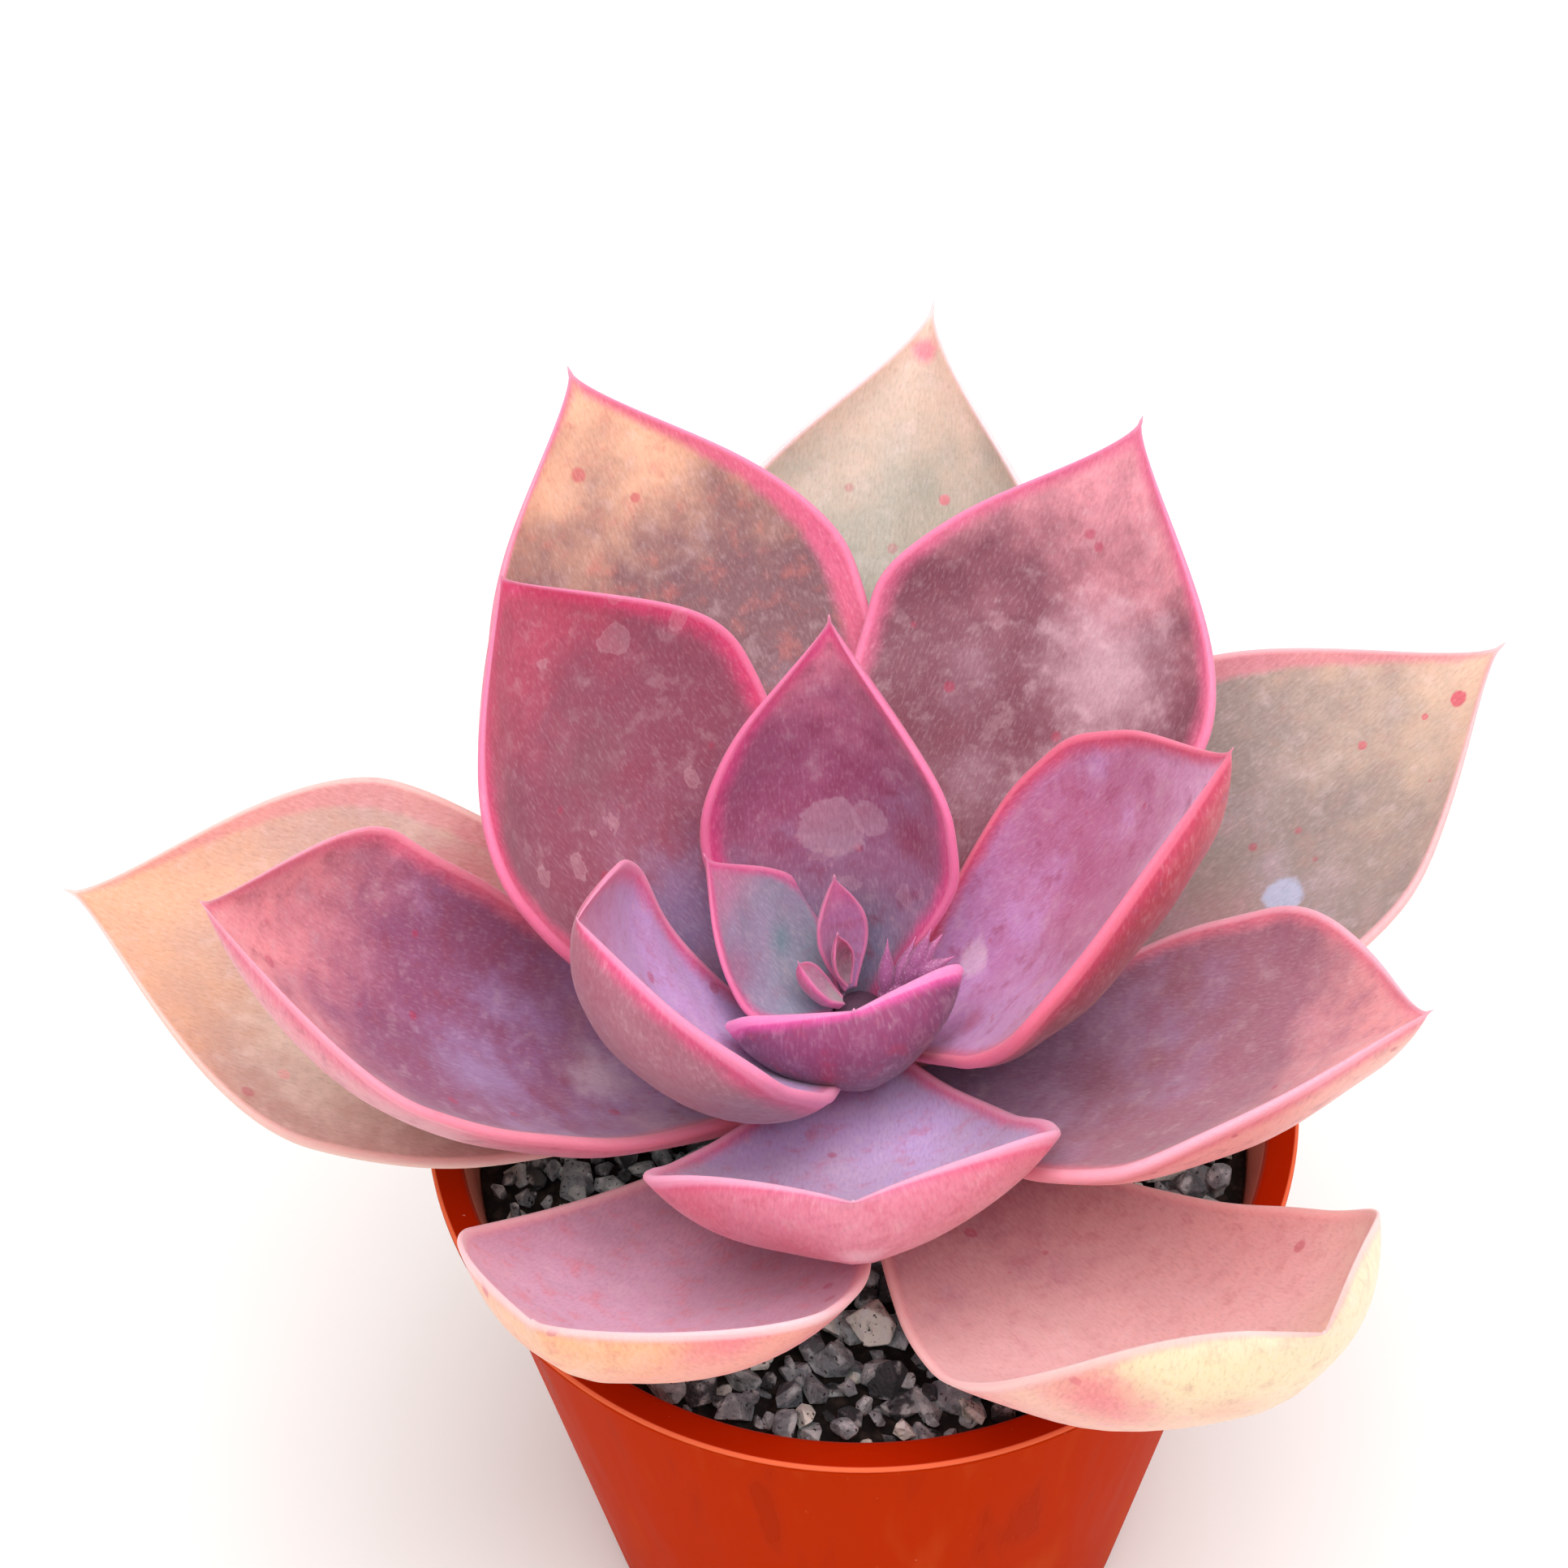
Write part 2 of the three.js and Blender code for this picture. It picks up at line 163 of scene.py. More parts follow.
def paint(tree: Tree, ground: str, layers: list[Layer]) -> Socket:
    """Lays coats of colour over a ground colour, first to last.

    Args:
        tree: The node tree that gets the coats.
        ground: The hex colour under them all.
        layers: The coats in order.

    Returns:
        The socket that carries the finished colour.
    """
    colour: object = linear(ground)
    for coat in layers:
        limits = {0: coat.source, 1: coat.low, 2: coat.high, 3: 0.0, 4: coat.strength}
        amount = add_node(tree, "ShaderNodeMapRange", limits, interpolation_type="SMOOTHSTEP")
        blend = {0: amount.outputs[0], 6: colour, 7: linear(coat.colour)}
        colour = add_node(tree, "ShaderNodeMix", blend, data_type="RGBA").outputs[2]
    return colour


def new_material(name: str) -> tuple[Material, Tree, Socket]:
    """Makes an empty node material.

    Args:
        name: The finish's name.

    Returns:
        The material, its node tree and the socket that tells where on the piece a point is.
    """
    material = bpy.data.materials.new(name)
    material.use_nodes = True
    tree = material.node_tree
    tree.nodes.clear()
    return material, tree, add_node(tree, "ShaderNodeTexCoord").outputs["Object"]


def finish_surface(
    tree: Tree,
    colour: Socket,
    roughness: Socket | float,
    relief: Socket,
    relief_mm: float,
    constants: dict[str, object],
) -> None:
    """Ends a material: relief, then the surface shader, then the output.

    Args:
        tree: The material's node tree.
        colour: The finished colour.
        roughness: A number, or a socket where it varies.
        relief: The height pattern, zero to one.
        relief_mm: How deep the pattern is.
        constants: Shader inputs that are the same all over.
    """
    height = {"Height": relief, "Distance": relief_mm * MM, "Strength": 1.0}
    bump = add_node(tree, "ShaderNodeBump", height).outputs[0]
    inputs = {"Base Color": colour, "Roughness": roughness, "Normal": bump, **constants}
    shader = add_node(tree, "ShaderNodeBsdfPrincipled", inputs)
    add_node(tree, "ShaderNodeOutputMaterial", {"Surface": shader.outputs[0]})


# ---- mesh helpers ----


def add_object(name: str, data: bpy.types.ID) -> Object:
    """Puts new data in the scene.

    Args:
        name: The object's name.
        data: Its mesh, light or camera.

    Returns:
        The new object.
    """
    item = bpy.data.objects.new(name, data)
    bpy.context.scene.collection.objects.link(item)
    return item


def place_piece(mesh: Mesh, nodes: tuple[str, ...] = ()) -> Object:
    """Puts a mesh in the scene as a piece of the plant.

    Args:
        mesh: The mesh, in the part's frame.
        nodes: The CAD nodes that it stands for.

    Returns:
        The new object.
    """
    piece = add_object(mesh.name, mesh)
    mesh.shade_smooth()
    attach(piece, "root")
    if nodes:
        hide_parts(*nodes)
    LOG.info("built %s with %d faces", piece.name, len(mesh.polygons))
    return piece


def loft(name: str, rings: np.ndarray, first: np.ndarray, last: np.ndarray) -> Mesh:
    """Skins a row of closed rings and closes both ends with a fan.

    Args:
        name: The mesh's name.
        rings: Points in millimetres, as ring by place in the ring by x, y, z.
        first: The point that closes the first ring.
        last: The point that closes the last ring.

    Returns:
        The closed mesh, in metres.
    """
    count, around = rings.shape[:2]
    points = np.vstack([rings.reshape(-1, 3), first, last]) * MM
    index = np.arange(count * around).reshape(count, around)
    beside = np.roll(index, -1, axis=1)
    quads = np.stack([index[:-1], beside[:-1], beside[1:], index[1:]], axis=-1).reshape(-1, 4)
    start, end = count * around, count * around + 1
    fans = [(start, b, a) for a, b in zip(index[0], beside[0])]
    fans += [(end, a, b) for a, b in zip(index[-1], beside[-1])]
    mesh = bpy.data.meshes.new(name)
    mesh.from_pydata(points.tolist(), [], quads.tolist() + [tuple(map(int, fan)) for fan in fans])
    mesh.update()
    return mesh


def store(mesh: Mesh, name: str, values: np.ndarray) -> None:
    """Stores one number for each point of a mesh, in the mesh's own order."""
    layer = mesh.attributes.new(name, "FLOAT", "POINT")
    layer.data.foreach_set("value", np.asarray(values, np.float32).ravel())


def lathe(name: str, profile: Outline, segments: int) -> Mesh:
    """Turns an outline about the upright axis.

    Args:
        name: The mesh's name.
        profile: Radius and height pairs, starting and ending on the axis.
        segments: How many steps the turn takes.

    Returns:
        The closed mesh.
    """
    turn = np.linspace(0, 2 * math.pi, segments, endpoint=False)
    radius = np.array([r for r, _ in profile[1:-1]])[:, None]
    height = np.array([z for _, z in profile[1:-1]])[:, None]
    rings = np.stack([radius * np.cos(turn), radius * np.sin(turn), height + 0 * turn], axis=-1)
    first, last = (np.array([0, 0, z]) for _, z in (profile[0], profile[-1]))
    return loft(name, rings, first, last)


def rounded(profile: Outline, radius: float, steps: int = 4) -> Outline:
    """Rounds the inner corners of an outline.

    Args:
        profile: Radius and height pairs.
        radius: How far from each corner its curve starts.
        steps: Points along each curve.

    Returns:
        The outline with its corners rounded.
    """
    points = [Vector(p) for p in profile]
    outline = [profile[0]]
    for before, corner, after in zip(points, points[1:], points[2:]):
        reach = min(radius, (before - corner).length / 2, (after - corner).length / 2)
        start = corner + (before - corner).normalized() * reach
        end = corner + (after - corner).normalized() * reach
        for i in range(steps + 1):
            t = i / steps
            outline.append(tuple(start * (1 - t) ** 2 + corner * 2 * t * (1 - t) + end * t * t))
    return outline + [profile[-1]]


def compass(heading: np.ndarray | float, rise: np.ndarray | float) -> np.ndarray:
    """Gives unit directions from compass headings and slopes.

    Args:
        heading: Degrees from +X towards +Y.
        rise: Degrees above the level.

    Returns:
        One direction for each pair, as x, y, z.
    """
    heading, rise = np.radians(heading), np.radians(rise)
    level = np.cos(rise)
    return np.stack([level * np.cos(heading), level * np.sin(heading), np.sin(rise)], axis=-1)


def tube(name: str, path: np.ndarray, radius: np.ndarray, sides: int) -> Mesh:
    """Makes a round bar along a path.

    Args:
        name: The mesh's name.
        path: Points in millimetres.
        radius: The bar's radius at each point.
        sides: Points in each ring.

    Returns:
        The closed mesh.
    """
    along = np.gradient(path, axis=0)
    along /= np.linalg.norm(along, axis=1)[:, None]
    across = np.cross(along, [0.0, 0.6, 0.8])  # a direction that no path here runs along
    across /= np.linalg.norm(across, axis=1)[:, None]
    over = np.cross(along, across)
    turn = np.linspace(0, 2 * math.pi, sides, endpoint=False)
    cos, sin = np.cos(turn)[None, :, None], np.sin(turn)[None, :, None]
    spread = across[:, None] * cos + over[:, None] * sin
    return loft(name, path[:, None] + spread * np.asarray(radius)[:, None, None], path[0], path[-1])


def join(name: str, parts: list[Mesh]) -> Mesh:
    """Joins meshes into one, and removes the parts.

    Args:
        name: The joined mesh's name.
        parts: The meshes to join.

    Returns:
        The joined mesh.
    """
    bag = bmesh.new()
    for part in parts:
        bag.from_mesh(part)
        bpy.data.meshes.remove(part)
    mesh = bpy.data.meshes.new(name)
    bag.to_mesh(mesh)
    bag.free()
    return mesh


# ---- leaves ----


@dataclass(frozen=True)
class Spot:
    """One mark on a leaf: a patch of its own colour, or on some leaves a painted sheen, a painted highlight
    or paint that lightens shade.
    """

    along: float  # share of the leaf's length from the stem
    across: float  # millimetres to the left of the midrib
    radius: float  # millimetres
    colour: str
    strength: float = 0.7
    soft: float = 0.4  # share of the radius over which it fades
    face: float = 0.0  # 0 on the upper face, 1 underneath


@dataclass(frozen=True)
class LeafSkin:
    """Living succulent skin, grown: firm, satiny and dusted with a pale wax bloom.

    The bloom is what scatters the light, so the colour looks chalky and speckled; low on the blade its
    colour also carries a painted sheen of the light from above. It is thin along the margin, where the
    flush of red pigment shows at its strongest, with a bright line at the very edge that is the margin's
    pink with a painted highlight on it.
    """

    slot: Slot
    base: str
    middle: str
    tip: str
    flush: str
    under: str
    under_tip: str
    # The bloom colour is the pale wax with a painted sheen of the light from above on it, low on the blade.
    bloom: str = "#c8a4cc"  # the wax seen low on the blade
    bloom_and_sheen_strength: float = 0.35
    band: float = 2.2  # millimetres of flush in from the margin
    flush_strength: float = 0.9
    lean: float = 0.0  # the flush is wider on the right side above zero, on the left below
    # The edge colour is the margin's own pink with a painted highlight on its rounded edge.
    edge: str = "#f788ae"
    edge_width: float = 0.55
    freckles: float = 0.5
    water_marks: float = 0.0
    blotches: float = 0.35
    blotch: str = "#b04a62"
    spots: tuple[Spot, ...] = ()
    grain_draw: float = 0.35  # a millimetre along counts as this much, which draws the grains out

    def material(self, name: str, length: float) -> Material:
        """Makes this skin's material.

        Args:
            name: The leaf's name.
            length: The leaf's length in millimetres.

        Returns:
            The material.
        """
        material, tree, place = new_material(f"{name}_skin")
        along, across, inset, under = (
            add_node(tree, "ShaderNodeAttribute", attribute_name=key).outputs["Fac"]
            for key in ("along", "across", "inset", "under")
        )
        flat = add_node(tree, "ShaderNodeCombineXYZ", {0: along, 1: across, 2: under}).outputs[0]
        # Clouds of pigment 9 mm across, patches of 2.5 mm, and wax grains of 0.3 mm, three times as long
        # along the leaf. Real grains are finer still, and are drawn this coarse to show.
        stretch = Vector((self.grain_draw * length, 1, GRAIN_GAP)) * MM
        fibres = vector_sums(tree, "MULTIPLY", flat, stretch)
        cloud = noise(tree, place, 9.0, 5.0, 0.6)
        patch = noise(tree, place, 2.5, 5.0, 0.6)
        grain = noise(tree, fibres, 0.3, 3.0, 0.6)
        drift = sums(tree, "MULTIPLY_ADD", cloud, 0.5, along)
        ragged = sums(tree, "MULTIPLY_ADD", patch, self.band, inset)
        margin = sums(tree, "MULTIPLY_ADD", across, self.lean / 10, ragged)
        low_cloud = sums(tree, "MULTIPLY_ADD", along, -0.55, cloud)
        relief = sums(tree, "MULTIPLY_ADD", grain, 0.4, patch)
        bloom_and_sheen = sums(tree, "MULTIPLY", low_cloud, sums(tree, "SUBTRACT", 1.0, under))
        under_tip = sums(tree, "MULTIPLY", under, along)
        coats = [
            Layer(drift, 0.30, 0.68, 1.0, self.middle),
            Layer(drift, 0.86, 1.26, 1.0, self.tip),
            # Wax bloom and painted sheen: paler low on the upper face, where the light from above shines on
            # the wax.
            Layer(bloom_and_sheen, 0.16, 0.46, self.bloom_and_sheen_strength, self.bloom),
            Layer(under, 0.2, 0.8, 1.0, self.under),
            Layer(under_tip, 0.45, 0.95, 1.0, self.under_tip),
            Layer(patch, 0.50, 0.72, self.blotches, self.blotch),
            Layer(patch, 0.48, 0.30, 0.15, "#ecd0d4"),
            Layer(margin, 1.75 * self.band, 0.5 * self.band, self.flush_strength, self.flush),
        ]
        coats += self.freckle_coats(tree, place)
        if self.water_marks:
            coats += self.drop_coats(tree, place, patch)
        coats += self.spot_coats(tree, flat, patch, length)
        coats += [
            Layer(grain, 0.48, 0.80, 0.18, "#f2d6dc"),
            Layer(grain, 0.54, 0.20, 0.22, "#6a2c40"),
            # Painted highlight: a bright line along the very edge, over the margin's own pink.
            Layer(inset, self.edge_width, 0.1 * self.edge_width, 0.65, self.edge),
        ]
        colour = paint(tree, self.base, coats)
        gloss = add_node(tree, "ShaderNodeMapRange", {0: patch, 1: 0.3, 2: 0.7, 3: 0.38, 4: 0.56})
        constants = {
            "IOR": 1.42,  # plant wax over water-filled cells
            "Subsurface Weight": 0.35,
            "Subsurface Radius": (1.0, 0.5, 0.4),
            "Subsurface Scale": 0.0028,
            "Sheen Weight": 0.15,
            "Sheen Roughness": 0.5,
            "Coat Weight": 0.1,
            "Coat Roughness": 0.3,
        }
        finish_surface(tree, colour, gloss.outputs[0], relief, 0.12, constants)
        return material

    def scattered(self, tree: Tree, place: Socket, spacing: float, vary: float) -> Socket:
        """Scatters marks, and measures how far each place is from the nearest one.

        Args:
            tree: The material's node tree.
            place: Where on the leaf.
            spacing: How far apart the marks are, in millimetres.
            vary: How much the marks differ in size.

        Returns:
            The distance, as a share of the spacing.
        """
        cell = add_node(tree, "ShaderNodeTexVoronoi", {"Vector": place, "Scale": per_metre(spacing)})
        pick = add_node(tree, "ShaderNodeSeparateColor", {0: cell.outputs["Color"]}).outputs[0]
        return sums(tree, "MULTIPLY_ADD", pick, vary, cell.outputs["Distance"])

    def freckle_coats(self, tree: Tree, place: Socket) -> list[Layer]:
        """Scatters crimson freckles up to a millimetre across."""
        return [Layer(self.scattered(tree, place, 5.0, 0.16), 0.18, 0.11, self.freckles, "#b82a54")]

    def drop_coats(self, tree: Tree, place: Socket, patch: Socket) -> list[Layer]:
        """Leaves the pale, faintly rimmed marks of dried water drops, 1 to 4 mm across.

        Args:
            tree: The material's node tree.
            place: Where on the leaf.
            patch: The pattern that makes their outlines uneven.

        Returns:
            The coats.
        """
        drop = sums(tree, "MULTIPLY_ADD", patch, 0.7, self.scattered(tree, place, 4.6, 0.42))
        rim = sums(tree, "COMPARE", drop, 0.70, 0.03)
        return [
            Layer(drop, 0.76, 0.60, self.water_marks * 0.36, "#cf9fa8"),
            Layer(rim, 0.1, 0.9, self.water_marks * 0.26, "#dcb0b8"),
        ]

    def spot_coats(self, tree: Tree, flat: Socket, patch: Socket, length: float) -> list[Layer]:
        """Sets this leaf's own spots in their places.

        Args:
            tree: The material's node tree.
            flat: Along, across and under, as one vector.
            patch: The pattern that makes their outlines uneven.
            length: The leaf's length in millimetres.

        Returns:
            The coats.
        """
        on_leaf = vector_sums(tree, "MULTIPLY", flat, (length, 1, FACE_GAP))
        coats = []
        for spot in self.spots:
            middle = (spot.along * length, spot.across, FACE_GAP * spot.face)
            away = vector_sums(tree, "DISTANCE", on_leaf, middle)
            reach = sums(tree, "MULTIPLY_ADD", patch, spot.radius * 0.9, away)
            rim = spot.radius * 1.45  # the pattern's mean of a half, times 0.9, is added to the radius
            coats.append(Layer(reach, rim, rim - spot.radius * spot.soft, spot.strength, spot.colour))
        return coats


@dataclass(frozen=True)
class Blade:
    """What every leaf of the rosette shares."""

    neck: float = 0.2  # width at the stem, as a share of the widest
    margin: float = 0.22  # thickness at the margin, as a share of the midrib's
    sweep_from: float = 0.35  # where along the leaf its heading is its own
    shoulder: float = 1.2  # how late the neck broadens
    point: float = 1.9  # how full the blade stays before its point
    rings: int = 84
    across: int = 36
    around_margin: int = 4
    finest: float = 0.1  # the least half width and thickness, in millimetres
    mucro: float = 0.6  # length of the sharp point at the very tip, in millimetres
    groove: float = 0.010  # depth of the fold over the midrib, as a share of the width
    groove_side: float = 0.1  # how far to each side it reaches, as a share of half the width
    dent: float = 0.0022  # depth of its gentle dents, as a share of the width
    uneven: float = 0.005  # how uneven its margin is, as a share of the width


@dataclass(frozen=True)
class Leaf:
    """One leaf, drawn from its midrib: see each field for what it does."""

    name: str
    skin: LeafSkin
    heading: float  # compass of the midrib, from +X towards +Y
    sweep: float  # how far it turns sideways by the tip
    height: float  # where it joins the stem
    rise: float  # slope at the stem
    curl: float  # slope gained by the tip
    bend: float  # how late the curl comes
    length: float
    width: float
    thick: float  # at the midrib
    cup: float  # half angle of the trough across the blade
    cup_gain: float  # more of it by the tip
    roll: float  # lean about the midrib
    broad: float  # where along the blade it is widest
    taper: float  # how drawn out its point is
    blade: Blade = Blade()

    def half_width(self, s: np.ndarray) -> np.ndarray:
        """Gives half the width at shares s of the length."""
        to_shoulder = np.minimum(s / self.broad, 1)
        past = np.maximum((s - self.broad) / (1 - self.broad), 0)
        broadening = np.sin(math.pi / 2 * to_shoulder) ** self.blade.shoulder
        neck = self.blade.neck + (1 - self.blade.neck) * broadening
        return self.width / 2 * neck * (1 - past**self.blade.point) ** self.taper

    def thickness(self, s: np.ndarray, side: np.ndarray) -> np.ndarray:
        """Gives the thickness at shares s of the length and places side across the blade."""
        # A little thinner in the first quarter, and thinning fast at the very tip. The underside is round
        # by the stem and more keeled towards the tip.
        body = self.thick * (0.8 + 0.2 * np.minimum(s / 0.25, 1)) * (1 - s**5)
        arch = 1 - np.abs(side) ** (2 - 0.8 * s)
        return body * (self.blade.margin + (1 - self.blade.margin) * arch)

    def midrib(self, s: np.ndarray, start_radius: float) -> tuple[np.ndarray, ...]:
        """Walks the midrib.

        Args:
            s: Shares of the length, rising from zero to one.
            start_radius: The stem's radius where the leaf joins it.

        Returns:
            The places, and the directions along, to the left and up, at each share.
        """
        heading = self.heading + self.sweep * (s - self.blade.sweep_from)
        along = compass(heading, self.rise + self.curl * s**self.bend)
        steps = (along[1:] + along[:-1]) / 2 * np.diff(s)[:, None] * self.length
        start = compass(self.heading, 0.0) * (start_radius + GAP) + [0, 0, self.height]
        place = start + np.vstack([np.zeros(3), np.cumsum(steps, axis=0)])
        level = compass(heading + 90, 0 * heading)
        lean = math.radians(self.roll)
        left = level * math.cos(lean) + np.cross(along, level) * math.sin(lean)
        return place, along, left, np.cross(along, left)

    def section(self) -> tuple[np.ndarray, np.ndarray, np.ndarray]:
        """Goes once round the blade's section.

        Returns:
            Side, from 1 on the left to -1 and back; depth, 0 on the upper face and 1 underneath; and how
            far each point bulges out of the margin, as a share of the margin's half thickness.
        """
        across = np.cos(np.linspace(0, math.pi, self.blade.across))
        turn = np.linspace(0, math.pi, self.blade.around_margin + 2)[1:-1]
        depth = (1 - np.cos(turn)) / 2
        side = np.concatenate([across, -np.ones_like(turn), across[::-1], np.ones_like(turn)])
        below = np.concatenate([0 * across, depth, 0 * across + 1, depth[::-1]])
        bulge = np.concatenate([0 * across, np.sin(turn), 0 * across, np.sin(turn)])
        return side, below, bulge

    def build(self, start_radius: float) -> Mesh:
        """Builds the leaf.

        Args:
            start_radius: The stem's radius where the leaf joins it.

        Returns:
            The closed mesh, with where each point lies on the leaf stored in it.
        """
        t = np.linspace(0, 1, self.blade.rings)
        s = t * (1.3 - 0.3 * t)  # the rings lie closer together towards the tip
        place, along, left, up = self.midrib(s, start_radius)
        side, depth, bulge = self.section()
        s_grid, side_grid = np.meshgrid(s, side, indexing="ij")
        half = np.maximum(self.half_width(s), self.blade.finest)[:, None]
        half = half * self.waver(s_grid, side_grid)
        thick = np.maximum(self.thickness(s_grid, side_grid), self.blade.finest)
        cup = np.radians(self.cup + self.cup_gain * s)[:, None]
        reach = half / cup
        sunk = depth * thick + self.ripple(s_grid, side_grid)
        angle = cup * side + np.sign(side) * bulge * thick / 2 / reach
        rings = (
            place[:, None]
            + left[:, None] * (np.sin(angle) * (reach + sunk))[..., None]
            + up[:, None] * (reach - np.cos(angle) * (reach + sunk))[..., None]
        )
        tip = rings[-1].mean(axis=0) + along[-1] * self.blade.mucro
        mesh = loft(self.name, rings, rings[0].mean(axis=0), tip)
        fields = {  # the values on the rings, and at the two end points
            "along": (s_grid, (0, 1)),
            "across": (half * side_grid, (0, 0)),
            "inset": (half * (1 - np.abs(side_grid)), (0, 0)),
            "under": (depth + 0 * s_grid, (0.5, 0.5)),
        }
        for name, (values, ends) in fields.items():
            store(mesh, name, np.append(values.ravel(), ends))
        return mesh

    def waves(self, count: int) -> np.ndarray:
        """Gives this leaf's own wave numbers and phases, the same each time."""
        return np.random.default_rng(int(self.heading * 7 + self.length)).uniform(0, 1, (count, 3))

    def ripple(self, s: np.ndarray, side: np.ndarray) -> np.ndarray:
        """Gives the gentle dents of a fleshy blade and the fold over its midrib, in millimetres."""
        dents = 0 * s
        for a, b, c in self.waves(5):
            dents = dents + np.sin(2 * math.pi * ((1 + 3 * a) * s + (0.4 + 1.1 * b) * side + c))
        fold = self.blade.groove * np.exp(-((side / self.blade.groove_side) ** 2))
        return (dents * self.blade.dent + fold) * self.width * np.sin(math.pi * s)

    def waver(self, s: np.ndarray, side: np.ndarray) -> np.ndarray:
        """Gives the margin's slight unevenness, as a share of the width."""
        uneven = 0 * s
        for a, b, c in self.waves(3):
            uneven = uneven + np.sin(2 * math.pi * ((2 + 4 * a) * s + b + c * np.sign(side)))
        return 1 + self.blade.uneven * uneven * np.sin(math.pi * s)


